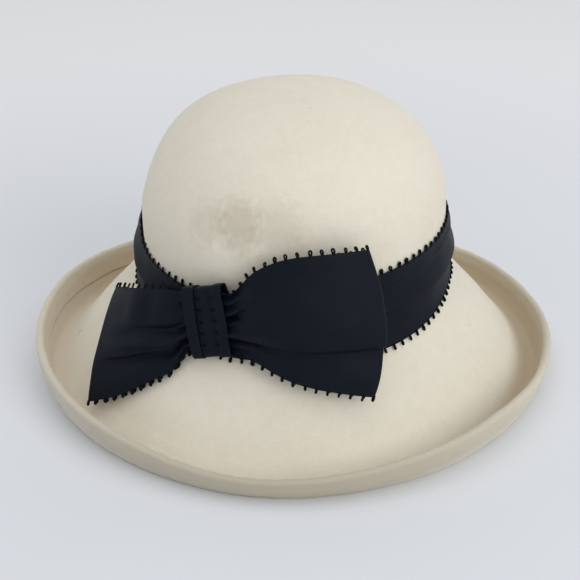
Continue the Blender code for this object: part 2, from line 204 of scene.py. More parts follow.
def grid_normals(points: Array, wrap_columns: bool) -> Array:
    """Return unit normals of a grid: the cross product of its two directions.

    Args:
        points: Rows by columns by three.
        wrap_columns: Whether the last column joins the first.
    Returns:
        Unit vectors in the same layout.
    """
    down = np.gradient(points, axis=0)
    if wrap_columns:
        round_it = np.roll(points, -1, axis=1) - np.roll(points, 1, axis=1)
    else:
        round_it = np.gradient(points, axis=1)
    return unit(np.cross(down, round_it))


def path_length(points: Array, axis: int) -> Array:
    """Return how far each point of a grid lies along that axis, from summed chord lengths."""
    steps = np.linalg.norm(np.diff(points, axis=axis), axis=-1)
    start = np.zeros_like(np.take(steps, [0], axis=axis))
    return np.concatenate([start, np.cumsum(steps, axis=axis)], axis=axis)


def grid_quads(rows: int, columns: int, wrap_rows: bool, wrap_columns: bool) -> Array:
    """Return the four-sided faces of a grid of points, as point numbers.

    Args:
        rows: How many rows the grid has.
        columns: How many columns it has.
        wrap_rows: Whether the last row joins the first.
        wrap_columns: Whether the last column joins the first.
    Returns:
        Four point numbers for each face.
    """
    row = np.arange(rows if wrap_rows else rows - 1)[:, None]
    column = np.arange(columns if wrap_columns else columns - 1)[None, :]
    next_row = (row + 1) % rows
    next_column = (column + 1) % columns
    corners = (row * columns + column, next_row * columns + column,
               next_row * columns + next_column, row * columns + next_column)
    return np.stack([np.broadcast_to(c, corners[0].shape) for c in corners], axis=-1).reshape(-1, 4)


def columns(rows: Array) -> list[Array]:
    """Return a table's columns, each one upright so that it spreads over a grid."""
    return [rows[:, [column]] for column in range(rows.shape[1])]


def turned(azimuths: Array) -> Array:
    """Return radians as degrees from -180 to 180."""
    return (np.degrees(azimuths) + 180.0) % 360.0 - 180.0


def ripple(azimuths: Array, terms: tuple[Triple, ...], base: float = 0.0) -> Array:
    """Return the base plus sines round the hat, each given by its size, count and phase."""
    return sum((size * np.sin(count * azimuths + phase) for size, count, phase in terms), base)


def half_turn(first: Array, last: Array, way: Array, rings: int) -> Array:
    """Return rings on a half circle from one line of points to another.

    Its middle lies halfway between the two lines, and it stands out along the part of the way
    given that is square to the line between them.

    Args:
        first: Points where it starts.
        last: Points where it ends.
        way: Which way it stands out at each point.
        rings: Rows between the two lines.
    Returns:
        Rings by points by three.
    """
    reach = (first - last) / 2
    way = way - reach * (np.sum(way * reach, -1) / np.sum(reach * reach, -1))[:, None]
    way = way * (np.linalg.norm(reach, axis=-1) / np.linalg.norm(way, axis=-1))[:, None]
    turns = np.linspace(0.0, np.pi, rings + 2)[1:-1, None, None]
    return (first + last) / 2 + reach * np.cos(turns) + way * np.sin(turns)


@dataclass(frozen=True)
class Waves:
    """A gentle random height: the mean of seeded plane waves.

    Attributes:
        count: How many waves are added up.
        shortest: Shortest wave length, in millimetres.
        longest: Longest wave length.
        seed: Where the random numbers start.
        size: The height, in millimetres.
    """

    count: int
    shortest: float
    longest: float
    seed: int
    size: float

    def at(self, points: Array) -> Array:
        """Return the heights at points of any layout, in the same layout.

        The waves' mean is brought to about -1 to 1 by the root of 2 over their count, over 1.5.
        """
        draw = np.random.default_rng(self.seed)
        direction = unit(draw.normal(size=(self.count, 3)))
        length = np.exp(draw.uniform(np.log(self.shortest), np.log(self.longest), self.count))
        phase = draw.uniform(0, 2 * np.pi, self.count)
        height = np.zeros(points.shape[:-1])
        for way, wave, start in zip(direction, length, phase):
            height += np.sin(points @ way * (2 * np.pi / wave) + start)
        return self.size * (height * np.sqrt(2 / self.count) / 1.5)


@dataclass
class Surface:
    """Points and faces of one piece, with values carried by its points.

    Attributes:
        name: The piece's name.
        points: Millimetres, one row for each point.
        quads: Four point numbers a face.
        triangles: Three point numbers a face.
        values: Named values of each point, numbers or vectors.
    """

    name: str
    points: Array
    quads: Array
    triangles: Array
    values: dict[str, Array]

    def volume(self) -> float:
        """Return the signed volume, a sixth of the sum of the faces' triple products."""
        fans = [self.quads[:, [0, 1, 2]], self.quads[:, [0, 2, 3]], self.triangles]
        a, b, c = (self.points[np.vstack(fans)[:, corner]] for corner in range(3))
        return float(np.einsum("ij,ij->", a, np.cross(b, c)) / 6)

    def make(self, finish: bpy.types.Material, closed: bool = True) -> bpy.types.Object:
        """Make the object, with the faces of a closed surface turned outwards.

        Args:
            finish: Its material.
            closed: Whether the surface encloses a volume.
        Returns:
            The new object, at the origin.
        """
        if closed and self.volume() < 0:
            self.quads = self.quads[:, ::-1]
            self.triangles = self.triangles[:, ::-1]
        mesh = bpy.data.meshes.new(self.name)
        mesh.vertices.add(len(self.points))
        mesh.vertices.foreach_set("co", (self.points * MM).astype(np.float32).ravel())
        corners = np.concatenate([self.quads.ravel(), self.triangles.ravel()]).astype(np.int32)
        mesh.loops.add(len(corners))
        mesh.loops.foreach_set("vertex_index", corners)
        starts = np.concatenate([np.arange(len(self.quads)) * 4,
                                 len(self.quads) * 4 + np.arange(len(self.triangles)) * 3])
        mesh.polygons.add(len(starts))
        mesh.polygons.foreach_set("loop_start", starts.astype(np.int32))
        mesh.update(calc_edges=True)
        mesh.validate()
        mesh.shade_smooth()
        for name, value in self.values.items():
            kind, field = ("FLOAT_VECTOR", "vector") if value.ndim == 2 else ("FLOAT", "value")
            layer = mesh.attributes.new(name, kind, "POINT")
            layer.data.foreach_set(field, value.astype(np.float32).ravel())
        mesh.materials.append(finish)
        made = bpy.data.objects.new(self.name, mesh)
        bpy.context.collection.objects.link(made)
        return made


def thicken(piece: bpy.types.Object, thickness: float) -> None:
    """Give a ribbon its thickness, half to each side, and apply it.

    Args:
        piece: An open or ring-shaped sheet.
        thickness: Millimetres.
    """
    wall = piece.modifiers.new("ribbon wall", "SOLIDIFY")
    wall.thickness = thickness * MM
    wall.offset = 0.0
    wall.use_rim = True
    wall.use_even_offset = False
    depsgraph = bpy.context.evaluated_depsgraph_get()
    solid = bpy.data.meshes.new_from_object(piece.evaluated_get(depsgraph),
                                            preserve_all_data_layers=True, depsgraph=depsgraph)
    piece.modifiers.clear()
    piece.data = solid


def ribbon_piece(name: str, grid: Array, values: dict[str, Array], thickness: float,
                 finish: bpy.types.Material, ring: bool = False) -> bpy.types.Object:
    """Make a ribbon of a grid of points.

    Args:
        name: The piece's name.
        grid: Rows by columns by three.
        values: Values carried by its points.
        thickness: Millimetres.
        finish: Its material.
        ring: Whether its last row joins the first.
    Returns:
        The piece.
    """
    piece = Surface(name, grid.reshape(-1, 3), grid_quads(*grid.shape[:2], ring, False),
                    NO_TRIANGLES, values).make(finish, closed=False)
    thicken(piece, thickness)
    return piece


class Bench:
    """Shader nodes of one tree, added and joined with short calls."""

    def __init__(self, tree: bpy.types.NodeTree) -> None:
        """Keep the tree."""
        self.tree = tree

    def add(self, kind: str, **settings: object) -> bpy.types.Node:
        """Return a new node of that kind with its settings."""
        node = self.tree.nodes.new(kind)
        for name, value in settings.items():
            setattr(node, name, value)
        return node

    def feed(self, socket: bpy.types.NodeSocket, value: object) -> None:
        """Link a socket's value into another, or set a plain value on it."""
        if isinstance(value, bpy.types.NodeSocket):
            self.tree.links.new(value, socket)
        else:
            socket.default_value = value

    def fill(self, node: bpy.types.Node, **values: object) -> bpy.types.Node:
        """Feed a node's inputs, named with _ for a space, and return the node."""
        for name, value in values.items():
            self.feed(node.inputs[name.replace("_", " ")], value)
        return node

    def math(self, operation: str, *values: object) -> bpy.types.NodeSocket:
        """Return the result of a Math node, given its values in order."""
        node = self.add("ShaderNodeMath", operation=operation)
        for socket, value in zip(node.inputs, values):
            self.feed(socket, value)
        return node.outputs[0]

    def times(self, first: object, second: object) -> bpy.types.NodeSocket:
        """Return the product of two values."""
        return self.math("MULTIPLY", first, second)

    def bump(self, shader: bpy.types.Node, height: object, strength: float, depth: float) -> None:
        """Let a pattern of heights tilt the shader's normal.

        Args:
            shader: The material's shader.
            height: The pattern.
            strength: Share of the full tilt.
            depth: How high the pattern's 1 stands, in metres.
        """
        node = self.fill(self.add("ShaderNodeBump"), Strength=strength, Distance=depth,
                         Height=height)
        self.feed(shader.inputs["Normal"], node.outputs["Normal"])

    def blend(self, share: object, start: object, end: object) -> bpy.types.NodeSocket:
        """Return a colour that goes from start to end by that share."""
        node = self.add("ShaderNodeMix", data_type="RGBA")
        self.feed(node.inputs[0], share)
        self.feed(node.inputs[6], start)
        self.feed(node.inputs[7], end)
        return node.outputs[2]

    def spread(self, value: object, low: object, high: object) -> bpy.types.NodeSocket:
        """Return 0 at low and 1 at high, smoothly between them."""
        node = self.add("ShaderNodeMapRange", interpolation_type="SMOOTHSTEP")
        for socket, number in zip(node.inputs, (value, low, high, 0.0, 1.0)):
            self.feed(socket, number)
        return node.outputs[0]

    def carried(self, name: str, output: str) -> bpy.types.NodeSocket:
        """Return a value that the piece's points carry."""
        return self.add("ShaderNodeAttribute", attribute_name=name).outputs[output]

    def place(self) -> bpy.types.NodeSocket:
        """Return the Object coordinates."""
        return self.add("ShaderNodeTexCoord").outputs["Object"]

    def effect(self, name: str, **values: object) -> bpy.types.bpy_prop_collection:
        """Return the outputs of a shared effect with its own values."""
        node = self.add("ShaderNodeGroup", node_tree=bpy.data.node_groups[name])
        return self.fill(node, **values).outputs


class Effects:
    """Shader node groups that several finishes use."""

    MOTTLE = "mottle"
    SPOT = "soft spot"
    NAP = "fibre nap"
    LINT = "lint"

    @staticmethod
    def start(name: str, inputs: dict[str, str], outputs: dict[str, str]) -> tuple:
        """Return a new group's bench, its input sockets and its output node's sockets.

        Args:
            name: The group's name.
            inputs: Kind of each input by name.
            outputs: Kind of each output by name.
        Returns:
            The bench, the sockets that come in and the sockets that go out.
        """
        tree = bpy.data.node_groups.new(name, "ShaderNodeTree")
        for way, sockets in (("INPUT", inputs), ("OUTPUT", outputs)):
            for socket, kind in sockets.items():
                tree.interface.new_socket(socket, in_out=way, socket_type="NodeSocket" + kind)
        bench = Bench(tree)
        return bench, bench.add("NodeGroupInput").outputs, bench.add("NodeGroupOutput").inputs

    @classmethod
    def mottle(cls) -> None:
        """Make patches: smooth noise of a scale, cut to a mask between two levels."""
        bench, given, out = cls.start(
            cls.MOTTLE, {"Vector": "Vector", "Scale": "Float", "Low": "Float", "High": "Float"},
            {"Mask": "Float"})
        noise = bench.fill(bench.add("ShaderNodeTexNoise"), Vector=given["Vector"],
                           Scale=given["Scale"], Detail=4.0, Roughness=0.55)
        bench.feed(out["Mask"], bench.spread(noise.outputs["Fac"], given["Low"], given["High"]))

    @classmethod
    def spot(cls) -> None:
        """Make one mark: 1 at its centre, falling to 0 at its radius, with a ragged edge."""
        bench, given, out = cls.start(
            cls.SPOT, {"Vector": "Vector", "Centre": "Vector", "Radius": "Float",
                       "Ragged": "Float"}, {"Mask": "Float"})
        noise = bench.fill(bench.add("ShaderNodeTexNoise"), Vector=given["Vector"], Scale=260.0,
                           Detail=5.0)
        away = bench.add("ShaderNodeVectorMath", operation="DISTANCE")
        bench.feed(away.inputs[0], given["Vector"])
        bench.feed(away.inputs[1], given["Centre"])
        share = bench.math("DIVIDE", away.outputs["Value"], given["Radius"])
        uneven = bench.times(bench.math("SUBTRACT", noise.outputs["Fac"], 0.5), given["Ragged"])
        bench.feed(out["Mask"], bench.spread(bench.math("ADD", share, uneven), 1.0, 0.25))

    @classmethod
    def nap(cls) -> None:
        """Make pressed wool: short fibres, as noise drawn out along two swirled directions."""
        bench, given, out = cls.start(
            cls.NAP, {"Vector": "Vector", "Scale": "Float"}, {"Height": "Float", "Tone": "Float"})
        parts = []
        for turn, drawn in ((0.6, (1.0, 1.0, 0.28)), (-0.9, (0.28, 1.0, 1.0)),
                            (1.9, (1.0, 0.28, 1.0))):
            lay = bench.fill(bench.add("ShaderNodeMapping"), Vector=given["Vector"],
                             Rotation=(turn, turn * 0.7, turn * 1.3), Scale=drawn)
            noise = bench.fill(bench.add("ShaderNodeTexNoise"), Vector=lay.outputs["Vector"],
                               Scale=given["Scale"], Detail=3.0, Distortion=1.6)
            parts.append(noise.outputs["Fac"])
        top = bench.math("MAXIMUM", bench.math("MAXIMUM", parts[0], parts[1]), parts[2])
        bench.feed(out["Height"], top)
        bench.feed(out["Tone"], bench.spread(top, 0.42, 0.78))

    @classmethod
    def lint(cls) -> None:
        """Make dust: the middles of a few cells of a Voronoi pattern."""
        bench, given, out = cls.start(
            cls.LINT, {"Vector": "Vector", "Scale": "Float", "Size": "Float"}, {"Mask": "Float"})
        cells = bench.fill(bench.add("ShaderNodeTexVoronoi"), Vector=given["Vector"],
                           Scale=given["Scale"])
        near = bench.math("LESS_THAN", cells.outputs["Distance"], given["Size"])
        pick = bench.add("ShaderNodeSeparateColor")
        bench.feed(pick.inputs[0], cells.outputs["Color"])
        few = bench.math("GREATER_THAN", pick.outputs[0], 0.72)
        bench.feed(out["Mask"], bench.times(near, few))

    @classmethod
    def make_all(cls) -> None:
        """Make every group once."""
        for effect in (cls.mottle, cls.spot, cls.nap, cls.lint):
            effect()


def start_material(name: str) -> tuple[bpy.types.Material, Bench, bpy.types.Node]:
    """Return a new material, the bench of its tree and its Principled shader."""
    made = bpy.data.materials.new(name)
    made.use_nodes = True
    return made, Bench(made.node_tree), made.node_tree.nodes["Principled BSDF"]


@dataclass(frozen=True)
class Patches:
    """Settings of one mottle mask.

    Attributes:
        scale: Patches a metre, roughly.
        low: Noise level where the mask starts.
        high: Noise level where it is full.
    """

    scale: float
    low: float
    high: float

    def mask(self, bench: Bench, place: bpy.types.NodeSocket) -> bpy.types.NodeSocket:
        """Return the mask at that place."""
        return bench.effect(Effects.MOTTLE, Vector=place, Scale=self.scale, Low=self.low,
                            High=self.high)["Mask"]


@dataclass(frozen=True)
class Mark:
    """One stain, dent shade or speck on the felt.

    Attributes:
        name: What it is.
        centre: Millimetres in the part's frame.
        radius: Millimetres.
        strength: Share of the mark's colour at its middle.
        ragged: How uneven its edge is.
        colour: Linear red, green and blue.
    """

    name: str
    centre: Triple
    radius: float
    strength: float
    ragged: float
    colour: Triple


SMUDGE = (0.43, 0.37, 0.27)
SPECK = (0.10, 0.07, 0.045)
STAIN = (0.34, 0.25, 0.15)
MARKS = (
    Mark("smudge, darkest", (-25.5, -88.3, 121.0), 19.0, 0.42, 0.9, SMUDGE),
    Mark("smudge, left", (-42.0, -82.0, 118.0), 18.0, 0.26, 0.9, SMUDGE),
    Mark("smudge, right", (-4.0, -91.0, 121.0), 20.0, 0.24, 0.9, SMUDGE),
    Mark("smudge, low", (-24.0, -91.5, 112.0), 14.0, 0.16, 1.2, SMUDGE),
    Mark("stain by the left rim", (-130.5, -17.5, 14.5), 3.2, 0.40, 1.6, STAIN),
    Mark("speck on the brim", (103.6, -40.1, 39.1), 0.9, 0.85, 0.3, SPECK),
    Mark("speck on the crown", (-2.7, -84.8, 134.8), 0.6, 0.55, 0.3, SPECK),
    Mark("speck above it", (-0.7, -82.3, 137.9), 0.5, 0.45, 0.3, SPECK),
    Mark("speck on the left", (-48.0, -69.6, 131.7), 0.6, 0.40, 0.3, SPECK),
    Mark("speck near the top", (10.3, -28.7, 163.7), 0.6, 0.45, 0.3, SPECK),
    Mark("dot in the right rim", (147.3, 31.0, 8.0), 0.8, 0.55, 0.3, STAIN),
    Mark("dot beside it", (150.2, 8.0, 12.0), 0.7, 0.50, 0.3, STAIN),
)


@dataclass(frozen=True)
class FeltFinish:
    """Cream wool felt: nap, slow mottling, painted shade and browning on the rim, and a few marks.

    Attributes:
        cream: Colour of clean felt, linear.
        pale: Colour of its lighter fibres.
        aged_and_shaded: Colour inside the rim, partly browned felt and partly painted shade.
        rim_shade_colour: Painted shade of the rim's outer wall and lip, a brownish grey.
        crease: Colour of the painted shade line in the hem's crease.
        nap_scale: Fibre pattern, repeats a metre.
        nap_depth: How far the fibres stand out, in metres.
        slow: Wide patches.
        cloud: Narrow patches.
        pale_share: How far fibres go to the pale colour.
        slow_share: How far wide patches go to the aged_and_shaded colour.
        cloud_share: How far narrow patches do.
        cloud_relief: Height of narrow patches beside the fibres'.
    """

    cream: Colour = (0.80, 0.752, 0.635, 1.0)
    pale: Colour = (0.88, 0.835, 0.72, 1.0)
    aged_and_shaded: Colour = (0.53, 0.425, 0.285, 1.0)
    rim_shade_colour: Colour = (0.34, 0.29, 0.21, 1.0)
    crease: Colour = (0.22, 0.14, 0.075, 1.0)
    nap_scale: float = 1300.0
    nap_depth: float = 0.00035
    slow: Patches = Patches(28.0, 0.35, 0.72)
    cloud: Patches = Patches(210.0, 0.30, 0.75)
    pale_share: float = 0.55
    slow_share: float = 0.08
    cloud_share: float = 0.07
    cloud_relief: float = 0.35

    def material(self) -> bpy.types.Material:
        """Return the felt's material."""
        made, bench, shader = start_material("cream wool felt")
        place = bench.place()
        nap = bench.effect(Effects.NAP, Vector=place, Scale=self.nap_scale)
        slow = self.slow.mask(bench, place)
        cloud = self.cloud.mask(bench, place)
        shade = bench.blend(bench.times(nap["Tone"], self.pale_share), self.cream, self.pale)
        for share, colour in ((bench.times(cloud, self.cloud_share), self.aged_and_shaded),
                              (bench.times(slow, self.slow_share), self.aged_and_shaded),
                              # painted shade and browning inside the rim
                              (bench.carried("age", "Fac"), self.aged_and_shaded),
                              # painted shade on the rim's outer wall and lip
                              (bench.carried("painted_rim_shade", "Fac"), self.rim_shade_colour)):
            shade = bench.blend(share, shade, colour)
        for mark in MARKS:
            spot = bench.effect(Effects.SPOT, Vector=place, Ragged=mark.ragged,
                                Radius=mark.radius * MM,
                                Centre=tuple(c * MM for c in mark.centre))["Mask"]
            shade = bench.blend(bench.times(spot, mark.strength), shade, (*mark.colour, 1.0))
        # Painted shade line in the hem's crease, shown on the left
        shade = bench.blend(bench.carried("hem_crease_shade", "Fac"), shade, self.crease)
        bench.feed(shader.inputs["Base Color"], shade)
        relief = bench.math("ADD", nap["Height"], bench.times(cloud, self.cloud_relief))
        bench.bump(shader, relief, 0.75, self.nap_depth)
        bench.fill(shader, Roughness=1.0, Specular_IOR_Level=0.15, Sheen_Weight=0.25,
                   Sheen_Roughness=0.7, Sheen_Tint=(1.0, 0.97, 0.90, 1.0))
        return made


@dataclass(frozen=True)
class RibbonFinish:
    """Navy ribbon with fine ribs across it, a smooth woven edge and a little lint.

    Attributes:
        navy: Colour in the grooves, linear.
        rib: Colour on top of the ribs.
        dust: Colour of lint.
        pitch: From one rib to the next, millimetres.
        selvedge: Width of the woven edge, millimetres.
        rib_depth: How far the ribs stand out, in metres.
        streaks: Patches where the ribs catch more light.
        streak_share: How far those go to the ribs' colour.
        edge_share: How far the woven edge does.
        lint_share: How far lint goes to its own colour.
    """

    navy: Colour = (0.0018, 0.0035, 0.0074, 1.0)
    rib: Colour = (0.0042, 0.0078, 0.0148, 1.0)
    dust: Colour = (0.06, 0.06, 0.065, 1.0)
    pitch: float = 0.55
    selvedge: float = 1.3
    rib_depth: float = 0.00006
    streaks: Patches = Patches(70.0, 0.3, 0.75)
    streak_share: float = 0.35
    edge_share: float = 0.5
    lint_share: float = 0.5

    def material(self) -> bpy.types.Material:
        """Return the ribbon's material. Its pattern follows the ribbon's own length and width."""
        made, bench, shader = start_material("navy ribbed ribbon")
        parts = bench.add("ShaderNodeSeparateXYZ")
        bench.feed(parts.inputs[0], bench.carried("ribbon_mm", "Vector"))
        along, across, from_edge = parts.outputs
        ribs = bench.math("SINE", bench.times(along, 2 * np.pi / self.pitch))
        ribs = bench.math("MULTIPLY_ADD", ribs, 0.5, 0.5)
        weft = bench.math("SINE", bench.times(across, 2 * np.pi / (self.pitch * 0.6)))
        inner = bench.spread(from_edge, self.selvedge, self.selvedge + 0.5)
        relief = bench.times(ribs, bench.math("MULTIPLY_ADD", inner, 0.7, 0.3))
        relief = bench.math("ADD", relief, bench.times(weft, 0.12))
        place = bench.place()
        shade = bench.blend(ribs, self.navy, self.rib)
        streak = self.streaks.mask(bench, place)
        edge = bench.math("SUBTRACT", 1.0, inner)
        lint = bench.effect(Effects.LINT, Vector=place, Scale=210.0, Size=0.045)["Mask"]
        for mask, share, colour in ((streak, self.streak_share, self.rib),
                                    (edge, self.edge_share, self.rib),
                                    (lint, self.lint_share, self.dust)):
            shade = bench.blend(bench.times(mask, share), shade, colour)
        bench.feed(shader.inputs["Base Color"], shade)
        bench.bump(shader, relief, 0.5, self.rib_depth)
        bench.fill(shader, Roughness=0.50, Specular_IOR_Level=0.11, Sheen_Weight=0.02,
                   Sheen_Roughness=0.4, Sheen_Tint=(0.45, 0.55, 0.80, 1.0))
        return made


@dataclass(frozen=True)
class ThreadFinish:
    """Black corded thread of the picot loops.

    Attributes:
        black: Main colour, linear.
        glint: Painted highlight: colour where the thread is painted as catching the light.
        glint_patches: Patches where it does.
        twist_depth: How far its fibres stand out, in metres.
    """

    black: Colour = (0.0014, 0.0014, 0.0018, 1.0)
    glint: Colour = (0.006, 0.0055, 0.005, 1.0)
    glint_patches: Patches = Patches(300.0, 0.4, 0.7)
    twist_depth: float = 0.00012

    def material(self) -> bpy.types.Material:
        """Return the thread's material."""
        made, bench, shader = start_material("black picot thread")
        place = bench.place()
        nap = bench.effect(Effects.NAP, Vector=place, Scale=3200.0)
        # Painted highlight on raised fibres, in patches
        share = bench.times(nap["Tone"], bench.times(self.glint_patches.mask(bench, place), 0.8))
        bench.feed(shader.inputs["Base Color"], bench.blend(share, self.black, self.glint))
        bench.bump(shader, nap["Height"], 0.6, self.twist_depth)
        bench.fill(shader, Roughness=0.6, Specular_IOR_Level=0.12)
        return made


@dataclass(frozen=True)
class FloorFinish:
    """Plain pale studio floor with painted light: a little paler away from the hat than near it.

    Attributes:
        pale: Its colour, linear.
        paler: Its colour further out, painted lighter as if better lit.
        near: Where that starts, metres from the hat's axis.
        far: Where it ends.
        patches: Where it is a shade darker.
        darker: How much darker, as a factor.
    """

    pale: Colour = (0.80, 0.82, 0.86, 1.0)
    paler: Colour = (0.90, 0.90, 0.915, 1.0)
    near: float = 0.18
    far: float = 0.75
    patches: Patches = Patches(3.0, 0.2, 0.8)
    darker: float = 0.97

    def material(self) -> bpy.types.Material:
        """Return the floor's material."""
        made, bench, shader = start_material("pale floor")
        place = bench.place()
        patch = self.patches.mask(bench, place)
        away = bench.add("ShaderNodeVectorMath", operation="LENGTH")
        bench.feed(away.inputs[0], place)
        # Painted light and shade: darker near the hat, paler further out
        share = bench.spread(away.outputs["Value"], self.near, self.far)
        shaded = tuple(c * self.darker for c in self.pale[:3]) + (1.0,)
        tone = bench.blend(patch, self.pale, shaded)
        bench.feed(shader.inputs["Base Color"], bench.blend(share, tone, self.paler))
        bench.fill(shader, Roughness=0.8, Specular_IOR_Level=0.2)
        return made


@dataclass(frozen=True)
class FeltForm:
    """The felt's true form: a dome, a wall, a sloping brim and an upturned rim.

    Attributes:
        height: Top of the crown above the table.
        widest_height: Where the dome becomes a wall.
        half_width: Half the crown's width there.
        half_depth: Half its depth.
        roundness_across: Exponent of the dome's spread, 2 being a circle.
        roundness_up: Exponent of its rise.
        dome_rings: Rings from the top to the widest line.
        skin_lowest: Lowest height that a band can lie on.
        lift_passes: Passes that find the side's lift at a height.
    """

    height: float = 166.0
    widest_height: float = 96.0
    half_width: float = 88.8
    half_depth: float = 97.0
    roundness_across: float = 2.3
    roundness_up: float = 2.25
    dome_rings: int = 58
    skin_lowest: float = 30.0
    lift_passes: int = 4

    def rows(self) -> Array:
        """Return rows of FELT_COLUMNS from the crown's top to the rim.

        The dome is a superellipse: its spread is the sine of a quarter turn, and its rise the
        cosine, each raised to 2 over its roundness. Below it the table's rows are joined by
        smooth_rows.
        """
        turn = np.linspace(0.0, np.pi / 2, self.dome_rings + 1)[1:-1]
        spread = np.sin(turn) ** (2 / self.roundness_across)
        rise = np.cos(turn) ** (2 / self.roundness_up)
        dome = np.zeros((len(turn), len(FELT_COLUMNS)))
        dome[:, 0] = self.half_width * spread
        dome[:, 1] = self.half_depth * spread
        dome[:, 2] = self.widest_height + (self.height - self.widest_height) * rise
        dome[:, -1] = FELT
        return np.vstack([dome, smooth_rows([row[1:] for row in FELT_SECTIONS], FELT_STEPS)])

    def upper_face(self, rows: Array, azimuths: Array) -> Array:
        """Return the upper face: an ellipse for each row, with its sides and corners lifted.

        A side's lift goes with the azimuth's sine squared, and a front corner's with the squared
        sine of twice the azimuth.

        Args:
            rows: Rows of FELT_COLUMNS.
            azimuths: Radians.
        Returns:
            Rows by azimuths by three.
        """
        (half_width, half_depth, height, lift_left, lift_right, corner_left, corner_right,
         _) = columns(rows)
        across = np.sin(azimuths)
        corner = np.where(np.cos(azimuths) > 0, np.sin(2 * azimuths) ** 2, 0.0)
        lift = np.where(across < 0, lift_left, lift_right) * across ** 2
        lift = lift + np.where(across < 0, corner_left, corner_right) * corner
        return np.stack([half_width * across, -half_depth * np.cos(azimuths), height + lift],
                        axis=-1)

    def wall_point(self, azimuth: Array, height: Array, out: Array) -> Array:
        """Return points that stand out from the crown's upright wall.

        The wall is the ellipse with the crown's half width and half depth, and a point lies on
        the ray at its azimuth, out beyond the ellipse.

        Args:
            azimuth: Radians.
            height: Millimetres above the table.
            out: Millimetres from the wall.
        Returns:
            The points.
        """
        across = np.sin(azimuth)
        along = np.cos(azimuth)
        radius = 1 / np.sqrt((across / self.half_width) ** 2 + (along / self.half_depth) ** 2)
        reach = radius + out
        return np.stack([reach * across, -reach * along, height * np.ones_like(reach)], axis=-1)

    def skin(self, azimuth: Array, height: Array, out: Array) -> Array:
        """Return points that lie a distance out from the felt, along its normal.

        The section is read at the height less the side's lift, which is found in a few passes.

        Args:
            azimuth: Radians.
            height: Millimetres above the table, in the same layout.
            out: Millimetres from the felt, in the same layout.
        Returns:
            The points.
        """
        rows = self.rows()
        widths, depths, heights, left, right = rows[rows[:, 2] > self.skin_lowest][::-1, :5].T
        across = np.sin(azimuth)
        along = -np.cos(azimuth)
        unlifted = height
        for _ in range(self.lift_passes):
            lift = np.where(across < 0, np.interp(unlifted, heights, left),
                            np.interp(unlifted, heights, right))
            unlifted = height - lift * across ** 2
        half_width = np.interp(unlifted, heights, widths)
        half_depth = np.interp(unlifted, heights, depths)
        slope = (np.interp(unlifted + 1.0, heights, widths)
                 - np.interp(unlifted - 1.0, heights, widths)) / 2
        flat = unit(np.stack([across / half_width, along / half_depth], axis=-1))
        normal = unit(np.concatenate([flat, -slope[..., None]], axis=-1))
        foot = np.stack([half_width * across, half_depth * along, height], axis=-1)
        return foot + normal * out[..., None]


